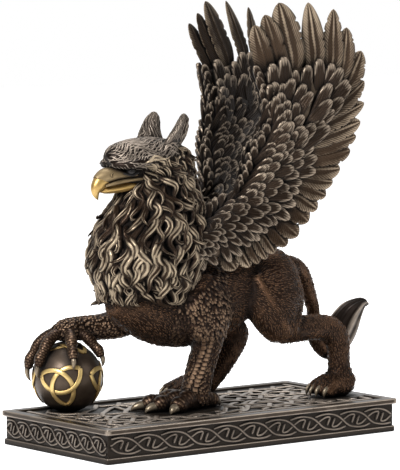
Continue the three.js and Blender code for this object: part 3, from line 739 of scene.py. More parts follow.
def shin_plates():
    """Two columns of broad plates down the front of the near foreleg, toward its middle toe"""
    surface = surface_of(body)
    centre_line = spline(NEAR_FORELEG, np.linspace(0, 1, 200))
    places, outs = [], []
    for level in PLATE_LEVELS:
        centre = centre_line[np.argmin(np.abs(centre_line[:, 2] - SOLE - level)), :3]
        facing = math.radians(np.interp(level, *SHIN_FACING))
        for column in (-0.5, 0.5):
            bearing = facing + column * 0.5
            away = np.array([math.cos(bearing), math.sin(bearing), 0])
            spot, normal, _, _ = surface.ray_cast(Vector(centre + 40 * away), Vector(-away))
            places.append(np.array(spot) + [0, 0, 0.6 * column])
            outs.append(np.array(normal))
    places, outs = np.array(places), np.array(outs)
    return lay(motif_scale((0.02, 0.3, 0.9, 1.0), 6.0), places + 0.1 * outs,
               combed([0, 0, -1.0], outs, 0.08), outs,
               np.tile([3.5, 3.9, 0.75], (len(places), 1)), SCALE_BRONZE, 0.08, 3, 0.2)


dress("griffin_leg_scales", [*leg_scales(), shin_plates()], SCALE_BRONZE, "griffin")


# Mane: locks that wave down from the head in overlapping rows

LOCK_ACROSS = np.linspace(-1, 1, 9)
STRANDS = 2
CRESTS = 9
MANE_SEED = 3
LOCK_STEPS = 16
# Half widths from one lock to the next, and the mm of one wave of a lock
LOCK_SPACING = 1.63
LOCK_WAVE = 23
# How far a lock swings and how far its end curls, in radians, and its share of its row's
# length. Shares of the locks whose ends curl, and whose ends flick out, and the flick in mm
LOCK_SWAY, LOCK_CURL, LOCK_REACH = (0.55, 0.9), (1.6, 3.2), (0.85, 1.2)
CURLED, FLICKED, FLICK = 0.5, 0.22, 4.0
# Rows of locks from the head down: height above the soles, length and half width in mm
LOCK_ROWS = [(155, 14, 1.4), (151, 17, 1.6), (146, 20, 1.8), (140, 24, 2.05), (133, 27, 2.3),
             (126, 29, 2.6), (118, 31, 2.9), (110, 32, 3.1), (102, 32, 3.2), (94, 30, 3.2),
             (87, 27, 3.0), (81, 23, 2.8)]
# Below one height the locks hang free of the chest, and below the other they are drawn
# up to a share of how far they would hang
FREE_BELOW = 71
FRINGE, FRINGE_SHARE = 65, 0.35


def lock(path, out, half_width, tone):
    """A tapered lock with two strands and a deep groove between them along its top"""
    share = np.linspace(0, 1, len(path))[:, None]
    girth = half_width * (np.sin(np.pi * np.clip(share, 0.006, 0.992) ** 0.6) ** 0.8)
    across = LOCK_ACROSS[None, :]
    shift = 0.2 * np.sin(6 * share + 6 * tone)
    strands = 0.5 - 0.5 * np.cos(STRANDS * np.pi * (across + shift))
    round_top = np.sqrt(1 - 0.97 * across ** 2)
    top = stack(girth * across, girth * round_top * (0.74 + 0.3 * strands))
    low = stack(girth * np.array([0.7, 0, -0.7]), -0.7 * girth)
    # A lock is paler on the raised crests of its waves, partly from the dry brush and partly as a
    # painted highlight, and keeps less rub toward its root
    crest_highlight = smooth(-0.5, 0.9, np.sin(CRESTS * share + 6 * tone))
    ridge = round_top * (0.2 + 0.28 * strands + crest_highlight * (0.14 + 0.32 * strands))
    ridge = np.clip((ridge + 0.2 * (tone - 0.5)) * smooth(-0.2, 0.35, share), 0, 1)
    ridge = np.concatenate([ridge, np.full((len(path), 3), 0.05)], 1)
    return sweep(path, out, np.concatenate([top, low], 1), ridge, tone)


def mane_at(height, column):
    """What a column of the mane's table says at a height"""
    return np.interp(height, MANE_TABLE[:, 1], column)


def mane_locks():
    """The core, darkened as painted shade, and rows of locks that each swing and curl in their own
    way
    """
    mane_rng = np.random.default_rng(MANE_SEED)
    radii = MANE_TABLE[:, 2:].mean(1)
    step = np.linspace(0, 1, LOCK_STEPS)
    yield mane_core()
    for row, (height, length, half_width) in enumerate(LOCK_ROWS):
        count = int(2 * np.pi * mane_at(height, radii) / (half_width * LOCK_SPACING))
        for k in range(count):
            angle = (k + 0.5 * (row % 2) + mane_rng.uniform(-0.25, 0.25)) / count * 2 * np.pi
            tone = mane_rng.random()
            curl = (mane_rng.choice([-1, 1]) * (mane_rng.random() < CURLED)
                    * mane_rng.uniform(*LOCK_CURL))
            sway = mane_rng.uniform(*LOCK_SWAY)
            wave = LOCK_WAVE + 3 * np.sin(3 * angle + 1.7 * row)
            flick = FLICK * (mane_rng.random() < FLICKED)
            reach = length * mane_rng.uniform(*LOCK_REACH)
            phase = 0.55 * np.sin(2.3 * angle + 0.9 * row) + 0.16 * tone
            lean = 0.75 * np.sin(angle) * np.interp(height, [85, 120, 150], [0.05, 0.5, 0.9])
            heading = (lean * smooth(-1.0, 0.1, np.cos(angle))
                       + sway * np.sin(2 * np.pi * (step * reach / wave + phase))
                       + curl * smooth(0.6, 1, step))
            stride = reach / (LOCK_STEPS - 1)
            aside, drop = (np.concatenate([[0], np.cumsum(part[:-1] * stride)])
                           for part in (np.sin(heading), np.cos(heading)))
            level = height - drop
            level = np.where(level < FRINGE, FRINGE - FRINGE_SHARE * (FRINGE - level), level)
            lift = (-0.8 + 2.0 * smooth(0, 0.45, step) + 0.9 * step + 1.4 * tone * step
                    + 1.2 * np.sin(CRESTS * step + 6 * tone) + flick * smooth(0.6, 1, step))
            path = mane_place(angle + aside / np.maximum(mane_at(level, radii), 10),
                              np.maximum(level, FREE_BELOW), lift)
            path[:, 2] = level + SOLE
            out = path - stack(mane_at(level, MANE_TABLE[:, 0]), 0.0, path[:, 2])
            yield lock(path, unit(out), half_width * mane_rng.uniform(0.8, 1.15), tone)


dress("griffin_mane", mane_locks(), HAIR_BRONZE, "griffin")


# Head

SKULL = [
    limb(figure([
        [-18, 0, 140, 12, 13], [-32, 0, 145.6, 15, 13], [-47, 0, 147.8, 14.4, 11.4],
        [-60, 0, 148, 11.6, 8.8], [-65.5, 0, 147, 7.6, 6.4], [-68.6, 0, 146, 3.6, 3.6],
    ]), 60, 40),
    limb(figure([
        [-22, 0, 134, 13, 12], [-38, 0, 136, 13.4, 9], [-52, 0, 137, 9.6, 6], [-62, 0, 138, 6, 3.5],
    ]), 40, 40),
]


def ear(side):
    """A cupped leaf with a rounded point, its hollow turned out and back"""
    share = np.linspace(0, 1, 50)
    rows = spline(figure([
        [-31, side * 11, 148, 9.4, 4.4], [-28.8, side * 12.4, 158, 7.6, 2.6],
        [-26.2, side * 14, 165, 5.6, 2.2], [-24.4, side * 15, 169.6, 4, 1.8],
        [-23.8, side * 15.4, 172, 2.2, 1.2], [-23.6, side * 15.5, 172.9, 0.8, 0.6],
    ]), share)
    turn = turns(40)
    cup = 0.6 * (np.cos(turn) ** 2)[None, :] * rows[:, 3:4] * smooth(0.1, 0.4, share)[:, None]
    section = stack(np.cos(turn) * rows[:, 3:4], np.sin(turn) * rows[:, 4:5] + cup - 1.6)
    return sweep(rows[:, :3], (0.45, side * 0.88, 0.1), section)


def brow(side):
    return limb(figure([
        [-67.8, side * 2.6, 145.6, 1.8, 1.6], [-66.6, side * 6.2, 145, 2.4, 2.1],
        [-62, side * 11.2, 145, 2.6, 2.1], [-52, side * 14, 147, 2.4, 2.4],
        [-42, side * 14.6, 149.6, 1.2, 1.8],
    ]), 40, 16)


def head_regions(form):
    """Which points are on the face below the brows, an ear, the crown, the brows, a cheek"""
    x, _, z = above_soles(form["points"])
    face = (x < -50) & (z < 143.5)
    on_ear = (z > 156) & (x > -42)
    crown = (z > 148) & ~face & (x < -14) & ~on_ear
    brows = (z <= 148) & (z > 143.5) & (x < -44)
    cheek = (z <= 147) & (z > 122) & ~face & (x < -12) & (x > -54)
    return face, on_ear, crown, brows, cheek


def eyes():
    polar, turn = np.linspace(0.06, np.pi - 0.06, 14)[:, None], turns(20)
    ball = 2.5 * stack(np.sin(polar) * np.cos(turn), np.sin(polar) * np.sin(turn), np.cos(polar))
    for side in (-1, 1):
        yield shell(ball + [-59.6, side * 9.8, 141 + SOLE])
        yield limb(figure([[-64, side * 8.8, 140, 0.5, 0.5], [-59.8, side * 11.6, 138.7, 0.7, 0.6],
                           [-55.4, side * 11.8, 140.2, 0.5, 0.5]]), 20, 10)


def cere_form():
    """The bare skin above the beak, with a nostril on each side and a lip along the mouth"""
    yield limb(figure([
        [-50, 0, 138.2, 8.8, 2.6], [-57, 0, 138.6, 8.6, 3], [-63, 0, 139, 8.2, 4],
        [-70, 0, 138.2, 6.4, 4.8], [-75, 0, 136.2, 3.8, 4], [-76.2, 0, 135.4, 2.6, 3.2],
    ]), 50, 40)
    turn = np.linspace(0, 2 * np.pi, 20)
    section = 0.42 * stack(np.cos(turn[:-1:3]), np.sin(turn[:-1:3]))
    for side in (-1, 1):
        yield limb(figure([
            [-50, side * 9.2, 136.4, 1.0, 1.0], [-58, side * 8.4, 136, 1.1, 1.1],
            [-67, side * 6.8, 134.6, 1.1, 1.1], [-73.4, side * 4.2, 132.8, 0.8, 0.8],
        ]), 30, 12)
        nostril = stack(1.7 * np.cos(turn), side * -0.5 * np.cos(turn), np.sin(turn))
        yield sweep(nostril + [-69.4, side * 6, 139 + SOLE], (0, side, 0.2),
                    np.broadcast_to(section, (len(turn), *section.shape)))


def beak_forms():
    """The hooked upper beak and the lower beak, closed on a dark line"""
    yield limb(figure([
        [-71.6, 0, 135.8, 4.4, 4.6], [-74.4, 0, 134.6, 4.1, 4.6], [-76.8, 0, 131.8, 3.3, 3.6],
        [-77.5, 0, 129, 2.2, 2.5], [-76.8, 0, 126.5, 1.2, 1.3], [-75.8, 0, 124.7, 0.2, 0.2],
    ]), 60, 32)
    yield limb(figure([
        [-48, 0, 132.4, 8.2, 3.2], [-56, 0, 132.1, 7.6, 3.2], [-64, 0, 131, 6.2, 2.9],
        [-70.6, 0, 130.2, 4, 2.2], [-74, 0, 129.8, 1.6, 1.1],
    ]), 40, 28)


def traced(surface, start, heading, length, steps, sway, phase, lift):
    """A path that wanders over a surface in the way that the heading function points"""
    here = Vector(start)
    stride = length / (steps - 1)
    path, outs = [], []
    for n in range(steps):
        spot, normal, _, _ = surface.find_nearest(here)
        path.append(spot + normal * lift)
        outs.append(normal)
        way = Vector(heading(np.array(spot)))
        way = (way - normal * way.dot(normal)).normalized()
        swing = sway * math.sin(2 * math.pi * (n / steps * 1.1 + phase))
        here = spot + (way * math.cos(swing) + normal.cross(way) * math.sin(swing)) * stride
    return np.array(path), np.array(outs)


def spread_points(form, keep, gap):
    """Points of a form that pass a test, no two nearer than the gap"""
    candidates = form["points"][keep]
    chosen = np.empty((0, 3))
    for point in candidates[rng.permutation(len(candidates))]:
        if len(chosen) == 0 or np.min(np.sum((chosen - point) ** 2, 1)) > gap * gap:
            chosen = np.vstack([chosen, point])
    return chosen


def stroke(path, out, half_width, tone, pale):
    """One short tapered stroke of plumage, modelled proud of the surface"""
    share = np.linspace(0, 1, len(path))[:, None]
    turn = turns(6)[None, :]
    girth = half_width * np.sin(np.pi * np.clip(share, 0.02, 0.98) ** 0.7) ** 0.7
    section = stack(girth * np.cos(turn), girth * 0.8 * np.sin(turn))
    ridge = np.clip((0.5 + 0.5 * np.sin(turn)) * pale + 0.25 * (tone - 0.5), 0, 1)
    return sweep(path, out, section, ridge, tone)


def head_heading(spot):
    """The way that the plumage lies: up the ears, back over the crown, down the cheeks"""
    x, y, z = spot[0], spot[1], spot[2] - SOLE
    if z > 157 and x > -40:
        return (0.15, math.copysign(0.12, y), 1)
    if z > 146:
        return (1, 0.3 * math.sin(x * 0.25) * math.copysign(1, y), 0.15)
    return (1, 0, -0.45 - 0.02 * (x + 60))


def head_strokes(kinds):
    """Strokes of plumage for each kind: where it grows, the gap between strokes, their length
    and half width, how far they swing, and how pale they are"""
    surface = surface_of(head)
    for keep, gap, length, half_width, sway, pale in kinds:
        for start in spread_points(head, keep, gap):
            tone = rng.random()
            phase = 0.045 * (start[0] + start[2]) + 0.12 * tone
            path, out = traced(surface, start, head_heading, length * rng.uniform(0.8, 1.2), 8,
                               sway, phase, 0.2 * half_width)
            yield stroke(path, out, half_width * rng.uniform(0.85, 1.15), tone, pale)


head = skin("head", [*SKULL, brow(1), brow(-1), ear(1), ear(-1)], HEAD_VOXEL, 3)
face, on_ear, crown, brows, cheek = head_regions(head)
# Below the brows the face keeps little rub and takes a dark tone: painted shade under the brows.
# The ears keep all their rub.
head["ridge"] = np.where(on_ear, 1.0, np.where(face, 0.1, 0.6)) * hollows(head)
head["grain"][face, 2] = SHADED_TONE
CROWN_STROKES = [(crown, 1.75, 9.5, 0.6, 0.9, 0.95), (brows, 1.6, 7, 0.5, 0.6, 1.0),
                 (on_ear, 1.7, 5, 0.45, 0.5, 0.9)]
CHEEK_STROKES = [(cheek, 2.5, 15, 0.95, 0.5, 1.0)]
dress("griffin_head", [head], CROWN_BRONZE, "griffin")
dress("griffin_plumage", head_strokes(CROWN_STROKES), CROWN_BRONZE, "griffin")
dress("griffin_cheeks", head_strokes(CHEEK_STROKES), HAIR_BRONZE, "griffin")
dress("griffin_eyes", eyes(), EYE_BRONZE, "griffin")
dress("griffin_cere", cere_form(), CERE_BRONZE, "griffin")
dress("griffin_beak", beak_forms(), GOLD_PAINT, "griffin")


# Talons

def sawtooth(values):
    return values - np.floor(values)


def scales(along, across, pitch, width):
    """Overlapping scales: 0 in the gaps and 1 on the free edge of each"""
    down = sawtooth(along / pitch)
    side = np.abs(2 * sawtooth(across / width + 0.5 * (np.floor(along / pitch) % 2)) - 1)
    return (1 - side ** 3) * (0.25 + 0.75 * down) * (1 - smooth(0.86, 1, down))


SCALE_HEIGHT = 0.45


def ringed(pitch, top):
    """Relief of a scaled limb: broad plates round `top`, small scales on the rest"""
    def relief(share, turn, length):
        off = np.angle(np.exp(1j * (turn - top)))
        down = sawtooth(length / pitch)
        plate = (0.35 + 0.65 * down) * (1 - smooth(0.82, 1, down))
        plate = plate * (1 - smooth(0.8, 1, np.abs(off)))
        small = scales(length, off * 6.5, pitch * 0.8, 2.6) * smooth(1, 1.15, np.abs(off))
        ends = smooth(0, 0.06, share) * (1 - smooth(0.97, 1, share))
        return SCALE_HEIGHT * (plate + 0.75 * small) * ends
    return relief


# Share along a toe and share of its size at each knuckle and between them
TOE_GIRTH = [(0.06, 1.12), (0.22, 0.98), (0.4, 1.1), (0.55, 0.9), (0.7, 1.0), (0.8, 0.62)]
# Tip, half width and rise of the knuckle
GROUND_TOES = [((-52, 1), 4.9, 4), ((-50, -10.5), 4.9, 4), ((-42.5, -25), 4.9, 4),
               ((5, -10.8), 4.4, 2)]


def ground_toe(tip, size, knuckle):
    """A toe that stands on the plinth, and its claw"""
    tip = np.asarray(tip, float)

    def at(share, girth, lift=0.0):
        place = NEAR_ANKLE + (tip - NEAR_ANKLE) * share
        arch = knuckle * math.sin(math.pi * min(1, share * 1.15)) * (1 - share)
        return [*place, size * girth * 0.8 + arch + SOLE + lift, size * girth, size * girth]

    aside = np.array([tip[1] - NEAR_ANKLE[1], NEAR_ANKLE[0] - tip[0], 0])
    toe = limb([at(*pair) for pair in TOE_GIRTH], 90, 26, aside,
               ringed(2.1, -np.pi / 2 if aside[1] > 0 else np.pi / 2))
    claw = [at(0.74, 0.5), at(0.84, 0.56, size * 0.22), at(0.94, 0.4, size * 0.12), at(1.0, 0.06)]
    claw[3][2] = SOLE + 0.3
    return toe, limb(claw, 20, 12, aside)


# Bearing and reach in degrees of the toes on the ball. Their stations and their claw's are
# the share of the reach, mm above the ball and half width
GRIPPING_TOES = [(146, 96), (184, 88), (244, 72), (312, 72)]
GRIPPING_TOE = [(0.08, 7.0, 3.9), (0.26, 6.8, 3.1), (0.42, 5.6, 3.3), (0.56, 4.4, 2.7),
                (0.67, 4.2, 3.0), (0.8, 3.4, 2.1)]
GRIPPING_CLAW = [(0.75, 3.8, 1.4), (0.84, 3.6, 1.5), (0.93, 2.6, 1.0), (1.0, 1.2, 0.12)]


def gripping_toe(heading, reach):
    """A toe that lies on the ball, and its claw"""
    bearing = math.radians(heading)

    def at(share, height, girth):
        swing = math.radians(reach * share)
        radius = BALL_RADIUS + height
        level = radius * math.sin(swing)
        return [BALL_CENTRE[0] + math.cos(bearing) * level,
                BALL_CENTRE[1] + math.sin(bearing) * level,
                BALL_CENTRE[2] + radius * math.cos(swing), girth, girth]

    aside = (-math.sin(bearing), math.cos(bearing), 0)
    toe = limb([at(*row) for row in GRIPPING_TOE], 100, 24, aside, ringed(1.8, np.pi / 2))
    return toe, limb([at(*row) for row in GRIPPING_CLAW], 20, 12, aside)


toes, claws = zip(*[ground_toe(*row) for row in GROUND_TOES],
                  *[gripping_toe(*row) for row in GRIPPING_TOES])
claws = [*claws, *paw_claws(NEAR_PAW), *paw_claws(FAR_PAW)]
dress("griffin_talons", toes, SCALE_BRONZE, "griffin")
dress("griffin_claws", claws, CLAW_BRONZE, "griffin")


def tail_tuft():
    """The tail's end: a smooth leaf of hair with fine lines that turn over at its tip"""
    share = np.linspace(0, 1, 64)[:, None]
    rows = spline(figure([
        [95, 2, 25, 4.6, 4.8], [100, 2, 25, 5.4, 6.6], [104, 2, 28, 6.2, 9.2],
        [110, 2, 36, 6.2, 11], [117, 2, 44.5, 5.2, 9], [124, 2, 50, 3.2, 4.8],
        [128.5, 2, 51.6, 1.8, 2.2], [131, 2, 50.2, 0.4, 0.5],
    ]), share[:, 0])
    turn = turns(56)
    wander = 11 * turn[None, :] + 4 * share + 0.8 * np.sin(2 * turn[None, :])
    lines = 0.42 * np.cos(wander) * smooth(0.03, 0.25, share)
    lines = lines + 0.6 * np.cos(3 * turn[None, :] + 2 * share) * smooth(0.1, 0.5, share)
    section = stack(np.cos(turn) * (rows[:, 4:5] + lines), np.sin(turn) * (rows[:, 3:4] + lines))
    return sweep(rows[:, :3], (0, -1, 0), section, np.clip(0.4 + 0.55 * lines, 0, 1))


dress("griffin_tail_tuft", [tail_tuft()], CROWN_BRONZE, "griffin")


# Wings

EDGE_RAIL = [[-24, 17, 94], [-11, 15.5, 109], [2, 12.5, 116], [13, 14, 121], [17.5, 18, 132],
             [20.5, 22.5, 146], [26, 26.5, 159], [28, 27.5, 172], [22, 25, 194]]
SPRING_RAIL = [[-22, 17, 90], [2, 20, 105], [17, 19.5, 114], [25, 21, 124], [30, 23.5, 135],
               [35, 26, 147], [39.5, 28.5, 157], [41, 29, 167], [29, 26.5, 184]]
COVERT_RAIL = [[-18, 18, 84], [18, 24.5, 97], [36, 26, 108], [50, 29, 126], [56, 30.5, 142],
               [60, 33, 160], [80, 36, 189], [58, 33, 202], [24, 26.5, 198]]
TIP_RAIL = [[-12, 19, 77], [25, 27, 85], [46, 32, 98], [62, 34.5, 118.5], [81, 36.5, 144],
            [91, 38.5, 171], [88.5, 40, 209], [48.5, 38.6, 237], [11, 30.5, 223]]
RAILS = np.array([EDGE_RAIL, SPRING_RAIL, COVERT_RAIL, TIP_RAIL], float)
# Tips of the flight feathers, from the first primary down to the last secondary
FLIGHT_TIPS = np.array([
    [14.2, 30.9, 224], [21.3, 31.9, 230], [29.6, 34.7, 237], [48.5, 38.6, 237], [67, 39.8, 233],
    [77, 40, 222], [88.6, 40, 208], [92, 39, 190], [92, 39, 177], [90, 38, 166], [87, 37.6, 157.5],
    [83, 37, 149], [76, 36, 138.6], [70.4, 36, 130.6], [66, 35, 122.7], [60, 34, 114.8],
    [54, 33, 107.6], [47, 32, 99.5], [40, 30, 94], [32.5, 28, 90], [27, 27, 86.6], [22, 26, 84],
    [16, 25, 82.4], [6, 24.4, 81.5],
])


def wing_point(rise, reach):
    """A point on the wing's middle surface: rise 0 to 1 up the rails, reach 0 at the edge
    rail, 1 at the spring rail, 2 at the covert rail and 3 at the tip rail"""
    rows = lengthened(np.stack([spline(rail, rise) for rail in RAILS], 0))
    reach = np.clip(reach, 0, 3)
    k = np.minimum(reach.astype(int), 2)
    column = np.arange(len(k))
    return on_curve([rows[k + i, column] for i in range(4)], (reach - k)[..., None])


def wing_frame(rise, reach):
    """Directions toward the tips, up the wing, and out of its outer face (toward +y)"""
    toward = unit(wing_point(rise, reach + 0.05) - wing_point(rise, reach - 0.05))
    up = unit(wing_point(np.minimum(rise + 0.01, 1), reach)
              - wing_point(np.maximum(rise - 0.01, 0), reach))
    out = unit(np.cross(toward, up))
    out = out * np.sign(out[..., 1:2])
    return toward, up, out


def half_thickness(rise, reach):
    """Half the thickness of the bare wing in mm"""
    swell = np.interp(rise, [0, 0.33], [1.5, 1.0])
    return np.interp(reach, [0, 0.5, 1, 1.7, 1.95], [1.6, 4, 4.6, 2.8, 1.2]) * swell


def wing_blank():
    """The bare wing under the feathers"""
    rises = np.linspace(0, 1, 70)
    outer, inner = [], []
    for reach in np.linspace(0, 1.9, 20):
        there = np.full(len(rises), reach)
        point = wing_point(rises, there)
        out = wing_frame(rises, np.clip(there, 0.06, 2.9))[2]
        thick = out * half_thickness(rises, there)[:, None]
        outer.append(point + thick)
        inner.append(point - thick)
    return shell(np.stack(outer + inner[::-1], 1))


FEATHER_COLUMNS = np.array([-1, -0.8, -0.5, -0.2, -0.07, 0.07, 0.2, 0.5, 0.8, 1])
# The share of its rub that a covert keeps on the wing's inner face, between the wings: painted
# shade
INNER_FACE_SHADE_RUB = 0.92
FIRST_TIP = (0.6, 1.9, 0.6)
PRIMARY_TIP = (0.5, 1.6, 0.62)
SECONDARY_TIP = (0.62, 1.8, 0.6)
FEATHER_THICKNESS = 0.85
FEATHER_TWIST = 0.17


def vane(path, out, half_width, tip, tone):
    """A feather with a shaft that stands proud between two vanes, the same on both faces. The
    tip says up to which share it keeps its full width, and two powers that shape its end."""
    full, bulge, taper = tip
    share = np.linspace(0, 1, len(path))[:, None]
    column = FEATHER_COLUMNS[None, :]
    end = np.clip((share - full) / (1 - full), 0, 1)
    width = half_width * (0.55 + 0.45 * smooth(0, 0.45, share))
    width = width * np.clip(1 - end ** bulge, 0.001, 1) ** taper
    splits = np.zeros_like(share)
    for _ in range(3):
        splits = splits + np.exp(-((share - rng.uniform(0.4, 0.9)) / 0.014) ** 2)
    shaft = np.exp(-(column / 0.1) ** 2)
    valley = np.exp(-((np.abs(column) - 0.2) / 0.12) ** 2)
    height = FEATHER_THICKNESS * (1 - np.abs(column) ** 2.6) * np.ones_like(share)
    height = height + (0.5 * shaft - 0.22 * valley) * np.minimum(1, (1 - share) * 6)
    height = height * np.minimum(1, width / half_width * 2)
    reach = width * column * (1 - 0.2 * np.minimum(splits, 1) * (np.abs(column) > 0.9))
    top = stack(reach, height + reach * FEATHER_TWIST)
    under = stack(reach, -height + reach * FEATHER_TWIST)[:, -2:0:-1]
    edge = 0.5 + 0.14 * smooth(0.75, 1, np.abs(column)) + 0.2 * shaft - 0.42 * valley
    edge = edge + 0.2 * smooth(0.5, 1, share) + 0.2 * (tone - 0.5)
    # The under face, turned in between the wings, keeps less rub and takes a dark tone: painted
    # shade
    ridge = np.concatenate([edge, 0.8 * edge[:, -2:0:-1]], 1)
    form = sweep(path, out, np.concatenate([top, under], 1), np.clip(ridge, 0, 1), tone)
    around = 2 * len(FEATHER_COLUMNS) - 2
    is_under = np.arange(len(path) * around) % around >= len(FEATHER_COLUMNS)
    form["grain"][:-2][is_under, 2] = SHADED_TONE
    return form


def flight_feathers():
    """The long feathers of one wing, laid like shingles"""
    rises = np.linspace(0, 1, 400)
    tip_line = wing_point(rises, np.full(400, 3.0))
    spacing = np.linalg.norm(np.diff(FLIGHT_TIPS, axis=0), axis=1)
    along = np.concatenate([np.linspace(0, 0.38, 6)[:-1], np.linspace(0.38, 1, 60)])
    for k, tip in enumerate(FLIGHT_TIPS):
        rise = rises[np.argmin(np.linalg.norm(tip_line - tip, axis=1))]
        near = [spacing[n] for n in (k - 1, k) if 0 <= n < len(spacing)]
        half_width = float(np.clip(np.mean(near) * 0.7, 4.5, 7.2)) * (1.3 if k == 2 else 1)
        stations = list(wing_point(np.full(4, rise), np.array([1.0, 1.5, 2.0, 2.5])))
        stations[-1] = stations[-1] * 0.5 + (stations[2] + tip) * 0.25
        out = wing_frame(np.full(len(along), rise), 1 + 1.9 * along)[2]
        shape = FIRST_TIP if k < 3 else PRIMARY_TIP if k < 9 else SECONDARY_TIP
        yield vane(spline(stations + [tip], along), out, half_width, shape, rng.random())


def motif_feather():
    """A short covert 1 mm long and 1 mm wide, with a round end and a rim that stand up"""
    share = np.array([0, 0.4, 0.56, 0.7, 0.83, 0.93, 0.985, 1])[:, None]
    column = np.array([-1, -0.8, -0.4, 0, 0.4, 0.8, 1, 0.5, 0, -0.5])
    is_top = np.arange(10) < 7
    width = 0.5 * (0.66 + 0.34 * smooth(0, 0.45, share)) * np.sqrt(
        np.clip(1 - (np.clip(share - 0.62, 0, 1) / 0.38) ** 2.4, 0.02, 1))
    dome = (np.interp(np.abs(column), [0, 0.4, 0.8, 1], [0.92, 0.84, 0.9, 0.3])
            * np.interp(share, [0, 0.5, 0.83, 0.985, 1], [0.4, 0.7, 0.95, 1, 0.6]))
    rim = np.maximum(np.exp(-((np.abs(column) - 0.85) / 0.14) ** 2), smooth(0.88, 0.97, share))
    ridge = (0.34 + 0.48 * rim + 0.1 * (column == 0)) * smooth(0.48, 0.78, share)
    return shell(stack(share, width * column, np.where(is_top, dome, -0.15)),
                 stack(share * 13, width * column * 7), np.where(is_top, ridge, 0.1))


# Rows of coverts on each face: where their tips lie, their length, width and height
COVERT_ROWS = [(2.06, 29, 9.2, 3.0), (1.7, 24, 8.4, 3.0), (1.36, 20, 7.8, 3.0),
               (1.04, 18, 7.4, 2.9), (0.74, 16, 6.8, 2.8), (0.44, 13, 6.2, 2.5)]
# Widths from one covert to the next, and mm between the small ones on the leading edge
COVERT_SPACING = 0.86
EDGE_SPACING = 6.5
# How narrow and how long the coverts are low on the wing, at a third of it and at its top
COVERT_GROWTH = ([0.6, 0.92, 1.05], [0.8, 0.95, 1.05])


def covert_places(face):
    """Places, directions and sizes of the coverts on one face of a wing"""
    found = []
    rises = np.linspace(0.0, 1, 300)
    for row, (reach, length, width, height) in enumerate(COVERT_ROWS):
        run = mm_along(wing_point(rises, np.full(300, reach)))
        count = int(run[-1] / (width * COVERT_SPACING))
        marks = (np.arange(count) + 0.5 * (row % 2) + 0.3) / count * run[-1]
        rise = np.interp(marks + rng.uniform(-0.9, 0.9, count), run, rises)
        there = np.full(count, reach) + rng.uniform(-0.1, 0.1, count)
        toward, up, out = wing_frame(rise, there)
        narrow, grown = (np.interp(rise, [0.05, 0.3, 1], at) for at in COVERT_GROWTH)
        lean = smooth(0.1, 1.7, reach)
        way = unit(toward * (0.2 + 0.8 * lean) + up * (1 - lean + rng.normal(0, 0.13, (count, 1))))
        tip = wing_point(rise, there)
        back = np.maximum(there - lean * length / 22.0, 0.1)
        base = tip - way * (length * grown[:, None])
        base = base + out * face * (half_thickness(rise, back)[:, None] - 0.6)
        tip = tip + out * face * (half_thickness(rise, there)[:, None] + 1.2)
        sizes = stack(np.linalg.norm(tip - base, axis=1), narrow * width, height * narrow)
        found.append((base, tip - base, out * face, sizes))
    run = mm_along(wing_point(rises, np.zeros(300)))
    count = int(run[-1] / EDGE_SPACING)
    for row, (ahead, aside) in enumerate(((0.3, 1.0), (0.9, 0.5))):
        rise = np.interp((np.arange(count) + 0.5 * row) / count * run[-1], run, rises)
        toward, up, out = wing_frame(rise, np.full(count, 0.1))
        out = out * face
        base = wing_point(rise, np.full(count, 0.1 - 0.06 * row)) + out * (1.5 - 0.6 * row) - up * 3
        found.append((base, up - toward * 0.4 + out * 0.1, out * aside - toward * ahead,
                      np.tile([13, 5, 2.2], (count, 1))))
    return [np.concatenate(columns) for columns in zip(*found)]


def mirrored(form):
    """The other wing: the same forms with y turned round"""
    return {**form, "points": form["points"] * [1, -1, 1], "faces": flipped(form["faces"])}


def wing_coverts():
    """The small feathers on both faces of a wing"""
    for seed, face in enumerate((1, -1)):
        coverts = lay(motif_feather(), *covert_places(face), COVERT_BRONZE, 0.16, seed)
        # The inner face, between the wings, keeps less rub and takes a dark tone: painted shade
        if face < 0:
            coverts["ridge"] = coverts["ridge"] * INNER_FACE_SHADE_RUB
            coverts["grain"][:, 2] = BACK_SHADE_TONE
        yield coverts


for name, forms, material in (("wing", [wing_blank(), *flight_feathers()], FEATHER_BRONZE),
                              ("coverts", wing_coverts(), COVERT_BRONZE)):
    form = bundle(forms)
    form["points"] = form["points"] + [0, 0, SOLE]
    dress(name + "_far", [form], material, "griffin")
    dress(name + "_near", [mirrored(form)], material, "griffin")


# Plinth

CORNER_RADIUS, LEAST_RADIUS = 1.3, 0.4
# mm of a straight side between its corner and the next point of a ring
CORNER_RUN = 2.2


def rounded_ring(half_length, half_width, radius, height):
    """Points round a rectangle with rounded corners, and which of them are on a corner"""
    points = []
    for n in range(4):
        turn = n * math.pi / 2 + np.array([0, 0, 0.25, 0.5, 0.75, 1, 1]) * math.pi / 2
        x = (half_length - radius) * (1 if n in (0, 3) else -1) + radius * np.cos(turn)
        y = (half_width - radius) * (1 if n in (0, 1) else -1) + radius * np.sin(turn)
        step = np.array([math.sin(n * math.pi / 2), -math.cos(n * math.pi / 2)]) * CORNER_RUN
        x[0], y[0] = x[0] + step[0], y[0] + step[1]
        x[-1], y[-1] = x[-1] + step[1], y[-1] - step[0]
        points.append(stack(x, y, float(height)))
    return np.vstack(points), np.tile([0, 1, 1, 1, 1, 1, 0], 4)


